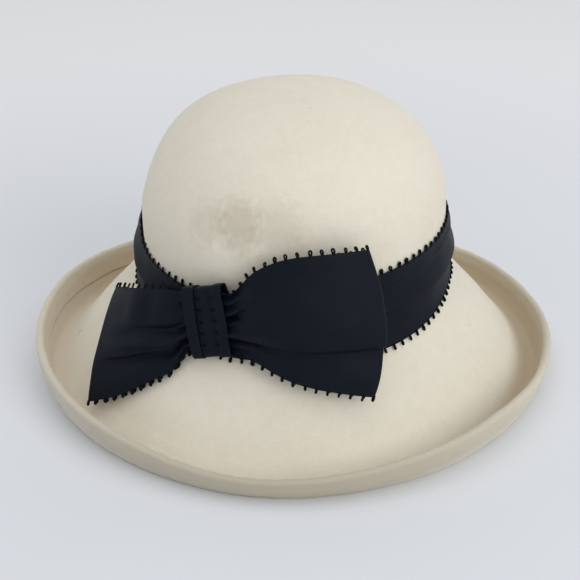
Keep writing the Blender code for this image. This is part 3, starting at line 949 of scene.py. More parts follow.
@dataclass
class FeltHat:
    """The felt cap and brim in one piece, with a turned and pressed hem round its rim.

    Attributes:
        form: The felt's form.
        segments: Points round each ring.
        rim_rings: Rings round the folded rim.
        hem_step: How far the hem's edge stands up from the brim.
        slow_waves: Wide hollows and swells of hand shaping.
        fine_waves: Small lumps of the felt.
        rim_waves: Small lumps on the rim.
        hem_from_rim: From the rim's last row to that edge, along the felt.
        hem_fade: How far the step takes to fade out in the brim.
        hem_wander: Sines that the hem's edge wanders by.
        hem_shown: Degrees to the left between which that edge comes out.
        rim_wave: Sines that the rim rises and falls by.
        dent_depth: Depth of the dent in the front of the crown.
        dent: Its centre.
        dent_reach: Its radii across and up.
        shoulder_depth: How far the crown's left shoulder is pushed in.
        shoulder: Azimuth in degrees and height of its middle.
        shoulder_reach: Its reach in degrees and in height.
        flat_top: Heights between which the wide waves fade out.
        pole_rise: How far the middle of the top lies above its first ring.
        under_age: How far the under face has browned.
        band_low: Heights between which the band begins to hold the felt.
        band_high: Heights between which it ends.
        rim_zone: Distances from the rim over which its lumps fade.
        rise_zone: Distance from the rim over which its wave fades.
        wall_zone: Distances from the rim over which the wall's painted shade fades.
        lip_zone: Distances over which the lip's does.
        age_and_shade_right: Degrees right between which the brim browns, with painted shade.
        age_and_shade_left: Degrees left between which it browns, with painted shade, by half.
        age_and_shade_back: Degrees left between which it browns, with painted shade, fully.
        age_and_shade_zone: Distances from the rim over which that fades.
        age_and_shade_lip: Distances from the rim over which the lip turns paler.
        rim_shade_front: Degrees over which the front's painted shade falls off.
        rim_shade_right: Azimuth of the right's painted shade, and degrees over which it falls off.
    """

    form: FeltForm
    segments: int = 232
    rim_rings: int = 9
    hem_step: float = 0.6
    slow_waves: Waves = Waves(10, 60.0, 150.0, 11, 0.45)
    fine_waves: Waves = Waves(40, 5.0, 16.0, 12, 0.07)
    rim_waves: Waves = Waves(40, 3.5, 12.0, 13, 0.16)
    hem_from_rim: float = 13.4
    hem_fade: float = 5.0
    hem_wander: tuple[Triple, ...] = ((0.35, 5.0, 0.6), (0.22, 13.0, 2.0), (0.12, 31.0, 0.0))
    hem_shown: Pair = (78.0, 92.0)
    rim_wave: tuple[Triple, ...] = ((0.35, 4.0, 1.0), (0.25, 9.0, 0.0))
    dent_depth: float = 1.3
    dent: Pair = (-24.0, 117.0)
    dent_reach: Pair = (22.0, 11.0)
    shoulder_depth: float = 1.7
    shoulder: Pair = (-82.0, 128.0)
    shoulder_reach: Pair = (45.0, 21.0)
    flat_top: Pair = (158.0, 166.0)
    pole_rise: float = 0.05
    under_age: float = 0.08
    band_low: Pair = (40.0, 50.0)
    band_high: Pair = (100.0, 112.0)
    rim_zone: Pair = (6.0, 30.0)
    rise_zone: float = 14.0
    wall_zone: Pair = (8.0, 22.0)
    lip_zone: Pair = (0.0, 5.0)
    age_and_shade_right: Pair = (28.0, 66.0)
    age_and_shade_left: Pair = (25.0, 60.0)
    age_and_shade_back: Pair = (88.0, 120.0)
    age_and_shade_zone: Pair = (20.0, 34.0)
    age_and_shade_lip: Pair = (0.5, 6.0)
    rim_shade_front: float = 62.0
    rim_shade_right: Pair = (95.0, 40.0)

    def unevenness(self, upper: Array) -> Array:
        """Return how far hand shaping has moved the felt out.

        It is seeded waves, held back where the band lies, less a soft dent in the crown's front
        and a flatter left shoulder, whose depths fall off as Gaussians.
        """
        height = upper[..., 2]
        under_band = (smoothstep(height, *self.band_low)
                      * (1 - smoothstep(height, *self.band_high)))
        free = 1 - 0.9 * under_band
        slow = self.slow_waves.at(upper) * (1 - smoothstep(height, *self.flat_top))
        away = (((upper[..., 0] - self.dent[0]) / self.dent_reach[0]) ** 2
                + ((height - self.dent[1]) / self.dent_reach[1]) ** 2)
        dent = self.dent_depth * np.exp(-away) * (upper[..., 1] < 0)
        degrees = np.degrees(np.arctan2(upper[..., 0], -upper[..., 1]))
        aside = (((degrees - self.shoulder[0]) / self.shoulder_reach[0]) ** 2
                 + ((height - self.shoulder[1]) / self.shoulder_reach[1]) ** 2)
        flatter = self.shoulder_depth * np.exp(-aside)
        return (slow + self.fine_waves.at(upper) - dent - flatter) * free

    def hem(self, from_rim: Array, azimuths: Array) -> tuple[Array, Array]:
        """Return how far the hem's edge sinks the brim beside it, and its crease's painted shade.

        Args:
            from_rim: Distance from the rim's last row along the upper face.
            azimuths: Radians.
        Returns:
            The sinking, in millimetres, and the painted shade line's strength from 0 to 1.
        """
        past = from_rim - self.hem_from_rim - ripple(azimuths, self.hem_wander)
        step = smoothstep(past, -0.35, 0.35) * np.exp(-np.maximum(past, 0.0) / self.hem_fade)
        line = np.exp(-(past / 0.38) ** 2)
        left = smoothstep(-turned(azimuths), *self.hem_shown)
        shown = left * (0.75 + 0.25 * np.sin(9 * azimuths + 0.9))
        return self.hem_step * step * (0.15 + 0.85 * left), line * 0.7 * shown

    def surface(self) -> Surface:
        """Work out the felt: an upper face, a round rim and an under face one thickness in."""
        azimuths = np.linspace(0.0, 2 * np.pi, self.segments, endpoint=False)
        rows = self.form.rows()
        upper = self.form.upper_face(rows, azimuths)
        normal = grid_normals(upper, True)
        normal = normal if normal[0, 0, 2] > 0 else -normal
        from_top = path_length(upper, 0)
        from_rim = from_top[-1:] - from_top
        sink, line = self.hem(from_rim, azimuths)
        moved = self.unevenness(upper)
        lifted = smoothstep(-from_rim, -self.rise_zone, 0.0) * ripple(azimuths, self.rim_wave)
        under = upper + normal * (moved - rows[:, -1][:, None])[..., None]
        upper = upper + normal * (moved - sink)[..., None]
        upper[..., 2] += lifted
        under[..., 2] += lifted
        under[..., 2] = np.maximum(under[..., 2], 0.0)
        rim = half_turn(upper[-1], under[-1], upper[-1] - upper[-2], self.rim_rings)
        rings = np.concatenate([upper, rim, under[::-1]])
        near = 1 - smoothstep(from_rim, *self.rim_zone)
        near = np.concatenate([near, np.ones_like(rim[..., 0]), near[::-1]])
        rings = rings + grid_normals(rings, True) * (self.rim_waves.at(rings) * near)[..., None]
        rings[..., 2] = np.maximum(rings[..., 2], 0.0)
        count, around = rings.shape[:2]
        ring = np.arange(around)
        after = (ring + 1) % around
        top = count * around
        last = top - around
        caps = np.concatenate([np.stack([np.full(around, top), ring, after], axis=-1),
                               np.stack([np.full(around, top + 1), last + after, last + ring],
                                        axis=-1)])
        poles = np.zeros((2, 3))
        poles[:, 2] = [face[0, :, 2].mean() + self.pole_rise for face in (upper, under)]
        # Partly browning, partly painted shade inside the rim, fading round the rim's rings
        age = self.age(from_rim, azimuths)
        rim_age_and_shade = np.linspace(1.0, 0.0, self.rim_rings)[:, None] * age[-1:]
        ages_and_shade = np.concatenate([age, rim_age_and_shade, np.full_like(age, self.under_age)])
        lines = np.concatenate([line, np.zeros_like(rim[..., 0]), np.zeros_like(line)])
        # Painted shade on the lip, the rim's edge and its outer wall
        rim_shade_strength = self.rim_shade_strength(azimuths)
        wall = (1 - smoothstep(from_rim[::-1], *self.wall_zone)) * rim_shade_strength
        edge = np.linspace(0.6, 1.0, self.rim_rings)[:, None] * rim_shade_strength
        lip = 0.6 * (1 - smoothstep(from_rim, *self.lip_zone)) * rim_shade_strength
        painted_rim_shade = np.concatenate([lip, edge, wall])
        return Surface("felt_hat", np.vstack([rings.reshape(-1, 3), poles]),
                       grid_quads(count, around, False, True), caps,
                       {"age": np.append(ages_and_shade.ravel(), [0.0, 0.1]),
                        "painted_rim_shade": np.append(painted_rim_shade.ravel(), [0.0, 0.0]),
                        "hem_crease_shade": np.append(lines.ravel(), [0.0, 0.0])})

    def age(self, from_rim: Array, azimuths: Array) -> Array:
        """Return the upper face's browning and painted shade, most in the rim, right and behind."""
        # Painted shade of the gutter, of the right, turned from the key, and of the crown's shadow.
        degrees = turned(azimuths)
        right = smoothstep(degrees, *self.age_and_shade_right)
        left = (0.45 * smoothstep(-degrees, *self.age_and_shade_left)
                + 0.45 * smoothstep(-degrees, *self.age_and_shade_back))
        below_lip = 0.55 + 0.45 * smoothstep(from_rim, *self.age_and_shade_lip)
        inside = (1 - smoothstep(from_rim, *self.age_and_shade_zone)) * below_lip
        return 0.05 + inside * (0.06 + 0.84 * np.maximum(right, left))

    def rim_shade_strength(self, azimuths: Array) -> Array:
        """Return the painted shade of the outer wall and the lip: most in front, least at left."""
        # Painted shade: in front the wall faces down to the table, and the right lip lies in shade.
        degrees = turned(azimuths)
        middle, width = self.rim_shade_right
        front = np.exp(-(degrees / self.rim_shade_front) ** 2)
        right = 0.6 * np.exp(-((degrees - middle) / width) ** 2)
        return 0.12 + 0.62 * np.maximum(front, right)

    def build(self, finish: bpy.types.Material) -> bpy.types.Object:
        """Make the felt and let it stand for the CAD node."""
        piece = self.surface().make(finish)
        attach(piece, "root")
        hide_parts("felt_body")
        return piece


def ribbon_values(path: Array, along_axis: int) -> dict[str, Array]:
    """Return each point's place on the ribbon: along it, across it and from its nearer edge.

    Args:
        path: A grid of points.
        along_axis: Which of the grid's two directions runs along the ribbon.
    Returns:
        The vector value ribbon_mm, in millimetres.
    """
    along = path_length(path, along_axis)
    along = np.broadcast_to(along.mean(axis=1 - along_axis, keepdims=True), path.shape[:2])
    across = path_length(path, 1 - along_axis)
    width = np.take(across, [-1], axis=1 - along_axis)
    from_edge = np.minimum(across, width - across)
    return {"ribbon_mm": np.stack([along, across, from_edge], axis=-1).reshape(-1, 3)}


@dataclass(frozen=True)
class PicotRow:
    """How one row of picot loops stands on an edge.

    Attributes:
        pitch: From one loop to the next.
        height: How far a loop stands out from the edge.
        width: Width of a loop.
        thread: Radius of its thread.
        root: How far its foot reaches into the ribbon.
        twist: Mean turn about its own height, degrees.
        scatter: How far turns and leans vary, degrees.
        raise_out: Mean lean away from the ribbon's face, degrees.
        segments: Points round a loop.
        sides: Sides of its thread.
        shift: How far its place along the edge varies.
        sizes: Least and largest size, as factors.
    """

    pitch: float = 6.1
    height: float = 3.0
    width: float = 2.3
    thread: float = 0.54
    root: float = 0.5
    twist: float = 8.0
    scatter: float = 12.0
    raise_out: float = 0.0
    segments: int = 12
    sides: int = 5
    shift: float = 0.25
    sizes: Pair = (0.9, 1.08)

    def loop(self) -> Array:
        """Return one loop's tube, its foot at the origin and its height along +Y.

        Its line is a teardrop: across it a sine times the sine of the half turn to the power
        1.3, and up it one less the cosine. The tube's ring lies in the plane of the line's
        normal and Z.
        """
        share = np.linspace(0.0, 1.0, self.segments, endpoint=False)
        shape = np.sin(2 * np.pi * share) * np.sin(np.pi * share) ** 1.3
        half = self.width / 2 - self.thread
        tall = self.height - self.thread + self.root
        line = np.stack([half * shape / np.abs(shape).max(),
                         tall * (1 - np.cos(2 * np.pi * share)) / 2 - self.root,
                         np.zeros_like(share)], axis=-1)
        forward = unit(np.roll(line, -1, axis=0) - np.roll(line, 1, axis=0))
        side = np.stack([forward[:, 1], -forward[:, 0], np.zeros_like(share)], axis=-1)
        turn = np.linspace(0.0, 2 * np.pi, self.sides, endpoint=False)[None, :, None]
        upright = np.array([0.0, 0.0, 1.0])
        return line[:, None] + self.thread * (side[:, None] * np.cos(turn) + upright * np.sin(turn))

    def along(self, edge: Array, inner: Array, face: Array, keep: Array, seed: int) -> Array:
        """Return loops along an edge, one every pitch.

        Each loop's frame is the edge's direction, the way out of the ribbon and its face's
        normal, turned by seeded angles.

        Args:
            edge: Points of the ribbon's edge.
            inner: Points of a line a little further in.
            face: The ribbon's normal at each edge point.
            keep: 1 where loops are made, 0 where they are left out.
            seed: Where the random numbers start.
        Returns:
            Loops by segments by sides by three.
        """
        length = path_length(edge[:, None], 0)[:, 0]
        count = int(length[-1] / self.pitch)
        at = (np.arange(count) + 0.5) * length[-1] / count
        draw = np.random.default_rng(seed)
        at = at + draw.uniform(-self.shift, self.shift, count)
        at = at[np.interp(at, length, keep) > 0.5]
        foot, within, front = (np.stack([np.interp(at, length, line[:, axis]) for axis in range(3)],
                                        axis=-1) for line in (edge, inner, face))
        out = unit(foot - within)
        front = unit(front)
        front = unit(front - out * np.sum(front * out, -1, keepdims=True))
        ahead = np.cross(out, front)
        twist = np.radians(self.twist + draw.normal(0, self.scatter, len(at)))[:, None]
        lean = np.radians(draw.normal(0, self.scatter * 0.5, len(at)))[:, None]
        lift = np.radians(self.raise_out + draw.normal(0, self.scatter * 0.4, len(at)))[:, None]
        size = draw.uniform(*self.sizes, len(at))[:, None, None, None]
        x_axis = ahead * np.cos(twist) + front * np.sin(twist)
        z_axis = front * np.cos(twist) - ahead * np.sin(twist)
        y_axis = unit(out + ahead * np.tan(lean) + front * np.tan(lift))
        x_axis = unit(x_axis - y_axis * np.sum(x_axis * y_axis, -1, keepdims=True))
        z_axis = np.cross(x_axis, y_axis)
        shape = self.loop()[None] * size
        return (foot[:, None, None] + shape[..., 0:1] * x_axis[:, None, None]
                + shape[..., 1:2] * y_axis[:, None, None] + shape[..., 2:3] * z_axis[:, None, None])


def join_loops(name: str, batches: list[Array], finish: bpy.types.Material) -> bpy.types.Object:
    """Make one piece of many loops.

    Args:
        name: The piece's name.
        batches: Loops by segments by sides by three, all of one segment and side count.
        finish: Its material.
    Returns:
        The piece.
    """
    loops = np.concatenate(batches)
    count, segments, sides = loops.shape[:3]
    one = grid_quads(segments, sides, True, True)
    shift = (np.arange(count) * segments * sides)[:, None, None]
    quads = (one[None] + shift).reshape(-1, 4)
    piece = Surface(name, loops.reshape(-1, 3), quads, NO_TRIANGLES, {}).make(finish)
    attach(piece, "root")
    return piece


@dataclass(frozen=True)
class KnotFrame:
    """The knot's own axes: it leans with the bow and rolls with it.

    Attributes:
        form: The felt's form.
        height: Height of its middle.
        out: Its back face from the crown's wall.
        half_width: Half its width along the bow.
        lean: Degrees that its low end stands out.
        roll: Degrees that its right side is higher.
        margin: Least distance from its side to a loop on the bow.
    """

    form: FeltForm
    height: float = 68.5
    out: float = 5.9
    half_width: float = 12.0
    lean: float = 13.0
    roll: float = 15.5
    margin: float = 0.6

    def axes(self) -> tuple[Array, Array, Array, Array]:
        """Return its origin on the wall and its unit axes along, up and out."""
        azimuth, lean, roll = np.radians([KNOT_AZIMUTH, self.lean, self.roll])
        origin = self.form.wall_point(np.array([azimuth]), self.height, self.out)[0]
        level = np.array([np.cos(azimuth), np.sin(azimuth), 0.0])
        forward = np.array([np.sin(azimuth), -np.cos(azimuth), 0.0])
        upright = np.array([0.0, 0.0, 1.0])
        out = np.cos(lean) * forward + np.sin(lean) * upright
        up = np.cos(lean) * upright - np.sin(lean) * forward
        return (origin, np.cos(roll) * level + np.sin(roll) * up,
                np.cos(roll) * up - np.sin(roll) * level, out)

    def clear_of_knot(self, points: Array) -> Array:
        """Return 1 for points beside the knot and 0 for those that it covers."""
        origin, along, _, _ = self.axes()
        return (np.abs((points - origin) @ along) > self.half_width + self.margin).astype(float)


@dataclass
class BandRibbon:
    """The wide ribbon round the crown, laid in two pleats that face down.

    Attributes:
        form: The felt's form.
        edge_steps: New rows from each row of the edges' table to the next.
        flat_half_span: Degrees beside the knot where the pleats are pressed flat.
        first_fold: Share of the height where the first pleat's fold lies.
        second_fold: Share for the second.
        first_tuck: Depth of the first pleat, a share of the height.
        second_tuck: Depth of the second.
        thickness: Of the ribbon.
        columns: Points round the band.
        side_bulge: Shares of the height, with how much further out the band stands there at
            the sides.
        fold_closed: Azimuths in degrees where the first pleat starts and stops opening.
        closed_levels: Distances out there from the top edge to the first tuck's end, as start,
            stop and path points.
        first_wander: Sines that the first pleat's fold wanders by.
        second_wander: Sines for the second.
        edge_wave: Sines that the edges rise and fall by.
        seam_gap: Radians left open on each side of the knot's middle.
        pressed: Least distance out at the knot, and the share of the pleats' that is left.
        loose: Soft waves of the panels that stand out.
        loose_from: Distance out where they begin.
    """

    form: FeltForm
    edge_steps: int = 8
    flat_half_span: float = 24.0
    first_fold: float = 0.20
    second_fold: float = 0.56
    first_tuck: float = 0.165
    second_tuck: float = 0.27
    thickness: float = 0.28
    columns: int = 400
    side_bulge: tuple[tuple[float, ...], tuple[float, ...]] = (
        (0.0, 0.10, 0.20, 0.40, 0.56, 0.70, 0.80, 1.0),
        (0.0, 0.2, 0.6, 1.8, 2.7, 1.6, 0.8, 0.0))
    fold_closed: Pair = (36.0, 58.0)
    closed_levels: tuple[tuple[float, float, int], ...] = (
        (1.55, 1.55, 10), (1.5, 1.3, 4), (1.25, 1.25, 6), (1.2, 0.95, 4))
    first_wander: tuple[Triple, ...] = ((0.030, 3.0, 0.4), (0.014, 8.0, 0.0))
    second_wander: tuple[Triple, ...] = ((0.035, 2.6, -0.9), (0.012, 7.0, 0.0))
    edge_wave: tuple[Triple, ...] = ((0.25, 6.0, 1.0), (0.18, 11.0, 0.0))
    seam_gap: float = 0.002
    pressed: Pair = (0.35, 0.42)
    loose: Waves = Waves(16, 18.0, 60.0, 21, 0.22)
    loose_from: float = 1.3

    def near_knot(self, azimuth: Array, half_span: float) -> Array:
        """Return 1 at the knot, falling as cosine squared to 0 at half_span degrees from it."""
        away = np.degrees(azimuth) - KNOT_AZIMUTH
        away = np.abs((away + 180.0) % 360.0 - 180.0) / half_span
        return np.cos(np.clip(away, 0.0, 1.0) * np.pi / 2) ** 2

    def fold_places(self, azimuth: Array) -> tuple[Array, Array]:
        """Return both folds' shares of the height, which wander a little round the hat."""
        return (ripple(azimuth, self.first_wander, self.first_fold),
                ripple(azimuth, self.second_wander, self.second_fold))

    def edges(self, azimuth: Array) -> tuple[Array, Array]:
        """Return the heights of its top and low edge, read off the curves through BAND_EDGES."""
        rows = smooth_rows([row[1:] for row in BAND_EDGES],
                           (self.edge_steps,) * (len(BAND_EDGES) - 1))
        places, top, low = rows.T
        degrees = turned(azimuth)
        return np.interp(degrees, places, top), np.interp(degrees, places, low)

    def section(self, azimuth: Array) -> tuple[Array, Array]:
        """Return the ribbon's way from its top edge to its low edge, folded in two pleats.

        Each run goes from one share of the height to another at the distances out given, and a
        half circle turns it into the next.

        Args:
            azimuth: Radians.
        Returns:
            Shares of the height and distances out, each path points by azimuths.
        """
        first, second = self.fold_places(azimuth)
        zero = np.zeros_like(azimuth)
        runs = (
            (zero, first, (1.20, 1.75, 2.30, 2.90), 10),
            (first - 0.004, first - self.first_tuck, (2.00, 1.70, 1.42), 6),
            (first - self.first_tuck + 0.004, second,
             (0.86, 0.95, 1.10, 1.50, 2.10, 2.75, 3.30, 3.75), 24),
            (second - 0.004, second - self.second_tuck, (2.80, 2.10, 1.50), 8),
            (second - self.second_tuck + 0.004, zero + 1.0,
             (0.95, 1.05, 1.15, 1.50, 2.00, 2.20, 2.10, 1.75, 1.30), 30),
        )
        high, low = self.edges(azimuth)
        height = high - low
        shares, outs = [], []
        for start, stop, knots, count in runs:
            step = np.linspace(0.0, 1.0, count)[:, None]
            out = np.interp(step[:, 0], np.linspace(0.0, 1.0, len(knots)), knots)
            out = np.convolve(np.pad(out, 1, mode="edge"), (0.25, 0.5, 0.25), mode="valid")
            share = start + (stop - start) * step
            if shares:
                turn = np.linspace(0.0, np.pi, 6)[1:-1][:, None]
                middle = (outs[-1][-1] + out[0]) / 2
                radius = (outs[-1][-1] - out[0]) / 2
                way = np.sign(shares[-1][-1] - shares[-1][-2])
                mean = (shares[-1][-1] + share[0]) / 2
                outs.append(middle + radius * np.cos(turn) + zero)
                shares.append(mean + way * np.abs(radius) / height * np.sin(turn))
            shares.append(share)
            outs.append(out[:, None] + zero)
        return np.vstack(shares), np.vstack(outs)

    def close_first_fold(self, out: Array, azimuth: Array) -> Array:
        """Return distances out with the first pleat laid nearly flat at the front right.

        The top panel and the tuck behind it go to levels of their own by a smooth share.

        Args:
            out: Path points by azimuths.
            azimuth: Radians.
        Returns:
            The new distances.
        """
        degrees = turned(azimuth)
        share = (1 - smoothstep(degrees, *self.fold_closed)) * smoothstep(degrees, -30.0, -15.0)
        flat = np.concatenate([np.linspace(*level) for level in self.closed_levels])[:, None]
        closed = out.copy()
        closed[:len(flat)] = np.minimum(out[:len(flat)], flat)
        return out + (closed - out) * share

    def grid(self) -> Array:
        """Return the band's points, path points by azimuths, starting and ending at the knot."""
        seam = np.radians(KNOT_AZIMUTH)
        azimuth = np.linspace(seam + self.seam_gap, seam + 2 * np.pi - self.seam_gap, self.columns)
        wave = ripple(azimuth, self.edge_wave)
        top, bottom = self.edges(azimuth)
        top, bottom = top + wave, bottom + 0.8 * wave
        share, out = self.section(azimuth)
        out = self.close_first_fold(out, azimuth)
        pressed = self.pressed[0] + self.pressed[1] * out
        out = out + (pressed - out) * self.near_knot(azimuth, self.flat_half_span)
        out = out + np.interp(share, *self.side_bulge) * np.sin(azimuth) ** 2
        height = top + (bottom - top) * share
        loose = self.loose.at(np.stack([azimuth * 90.0 + 0 * share, height, out], axis=-1))
        out = out + loose * np.clip(out - self.loose_from, 0.0, 1.0)
        return self.form.skin(np.broadcast_to(azimuth, height.shape), height, out)

    def build(self, finish: bpy.types.Material) -> tuple[bpy.types.Object, Array]:
        """Args:
            finish: Its material.
        Returns:
            The piece and its grid of points.
        """
        grid = self.grid()
        piece = ribbon_piece("ribbon_band_pleated", grid, ribbon_values(grid, 1), self.thickness,
                             finish)
        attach(piece, "root")
        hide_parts("ribbon_band")
        LOG.info("band ribbon: %.1f mm wide, %.1f mm long", path_length(grid, 0)[-1].mean(),
                 path_length(grid, 1)[:, -1].mean())
        return piece, grid


@dataclass
class BowRibbon:
    """The bow: one closed loop of ribbon, pinched in its middle by the knot.

    Attributes:
        form: The felt's form.
        least_gap: Least distance between the layers.
        gather_count: Gathers side by side across the ribbon.
        gather_depth: Half their depth.
        front_gathers: Where along a wing they fade out in the front layer.
        back_gathers: Where they fade out in the back layer.
        back_drop: How far the back layer's top edge lies below the front's, a share of the gap.
        low_edge_closing: How much closer the two layers lie at the low edge.
        end_closing: How much of the folds' depth is lost at a wing's end.
        waves: Soft waves of the front layer.
        rows_per_section: New rows between two rows of a wing's table.
        lines: Points across the ribbon.
        fold_rings: Rows round an end fold.
        thickness: Of the ribbon.
    """

    form: FeltForm
    least_gap: float = 0.8
    gather_count: float = 5.5
    gather_depth: float = 1.35
    front_gathers: Pair = (0.16, 0.42)
    back_gathers: Pair = (0.62, 0.96)
    back_drop: float = 0.95
    low_edge_closing: float = 0.45
    end_closing: float = 0.55
    waves: Waves = Waves(14, 14.0, 40.0, 31, 0.16)
    rows_per_section: int = 13
    lines: int = 97
    fold_rings: int = 7
    thickness: float = 0.42

    def layer(self, rows: Array, across: Array, behind: Array) -> Array:
        """Return the ribbon's points for each row of a wing's table.

        A line across runs straight between its edges in azimuth, height and distance out, and
        bellies by four times the product of both shares.

        Args:
            rows: The wing's smooth rows.
            across: Shares from the top edge to the low edge.
            behind: Millimetres further in than the front layer.
        Returns:
            Rows by lines by three.
        """
        (top_azimuth, top_height, top_out, low_azimuth, low_height, low_out, belly_azimuth,
         belly_out, _) = columns(rows)
        belly = 4 * across * (1 - across)
        azimuth = top_azimuth + (low_azimuth - top_azimuth) * across + belly_azimuth * belly
        height = top_height + (low_height - top_height) * across
        out = top_out + (low_out - top_out) * across + belly_out * belly
        return self.form.wall_point(np.radians(azimuth), height, out - behind)

    def relief(self, wing: Wing, count: int, across: Array) -> Array:
        """Return how far folds and bumps push the front layer in.

        A fold's depth falls off from its line as a Gaussian, wider on one side than on the
        other, and fades in and out at its ends. A bump is a Gaussian in both directions.

        Args:
            wing: Which half of the bow.
            count: Rows along the wing.
            across: Shares across the ribbon.
        Returns:
            Rows by lines, in millimetres.
        """
        _, folds, bumps = wing.value
        along = np.linspace(0.0, 1.0, count)[:, None]
        depth = np.zeros((count, across.shape[-1]))
        for _, begin, end, from_place, to_place, deep, deep_end, upper, lower in folds:
            share = np.clip((along - begin) / (end - begin), 0.0, 1.0)
            line = from_place + (to_place - from_place) * share
            past = across - line
            width = np.where(past < 0, upper, lower)
            fade = smoothstep(along, begin - 0.05, begin + 0.03)
            if end < 1.0:
                fade = fade * (1 - smoothstep(along, end - 0.16, end))
            depth += (deep + (deep_end - deep) * share) * fade * np.exp(-(past / width) ** 2)
        for _, place, middle, deep, long_width, cross_width in bumps:
            depth += deep * np.exp(-((along - place) / long_width) ** 2
                                   - ((across - middle) / cross_width) ** 2)
        return depth * smoothstep(along, 0.10, 0.22)

    def gathers(self, count: int, across: Array) -> tuple[Array, Array]:
        """Return how far the gathers at the knot push the front and the back layer in.

        They are sine ripples across the ribbon, in step in both layers, that fade out along it.

        Args:
            count: Rows along the wing.
            across: Shares across the ribbon.
        Returns:
            Rows by lines for each layer, in millimetres.
        """
        along = np.linspace(0.0, 1.0, count)[:, None]
        ripple = self.gather_depth * np.sin(2 * np.pi * self.gather_count * across)
        return (ripple * (1 - smoothstep(along, *self.front_gathers)),
                ripple * (1 - smoothstep(along, *self.back_gathers)))

    def wing(self, wing: Wing) -> tuple[Array, Array, Array]:
        """Return a wing's front layer, end fold and back layer.

        The end fold is a half turn from the front layer's last line to the back layer's,
        standing out along the way the layers end.
        """
        table = wing.value[0]
        rows = smooth_rows([row[1:] for row in table], (self.rows_per_section,) * (len(table) - 1))
        across = np.linspace(0.0, 1.0, self.lines)[None, :]
        depth = self.relief(wing, len(rows), across)
        gap = columns(rows)[-1] * (1 - self.low_edge_closing * across ** 2)
        settle = np.linspace(0.0, 1.0, len(rows))[:, None] ** 4
        front_ripple, back_ripple = self.gathers(len(rows), across)
        gap = gap + back_ripple
        depth = depth * (1 - self.end_closing * settle) + front_ripple
        depth = np.minimum(depth, gap - self.least_gap)
        front = self.layer(rows, across, depth)
        back = self.layer(rows, across, gap)
        back[..., 2] -= self.back_drop * gap * (1 - across) ** 2
        front = front + self.waves.at(front)[..., None] * grid_normals(front, False)
        outward = front[-1] - front[-2] + back[-1] - back[-2]
        return front, half_turn(front[-1], back[-1], outward, self.fold_rings), back

    def grid(self) -> Array:
        """Return the loop's points from the knot round both wings, open under the knot."""
        right_front, right_fold, right_back = self.wing(Wing.RIGHT)
        left_front, left_fold, left_back = self.wing(Wing.LEFT)
        path = np.concatenate([right_front, right_fold, right_back[::-1],
                               left_back[1:], left_fold[::-1], left_front[::-1]])
        path[-1] += (path[-2] - path[-1]) * 0.25
        return path

    def build(self, finish: bpy.types.Material) -> tuple[bpy.types.Object, Array]:
        """Make the bow.

        Args:
            finish: Its material.
        Returns:
            The piece and its grid of points.
        """
        grid = self.grid()
        piece = ribbon_piece("ribbon_bow", grid, ribbon_values(grid, 0), self.thickness, finish)
        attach(piece, "root")
        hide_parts("bow_loops")
        widths = path_length(grid, 1)[:, -1]
        LOG.info("bow ribbon: %.1f to %.1f mm wide, %.1f mm long", widths.min(), widths.max(),
                 path_length(grid, 0)[-1].mean())
        return piece, grid


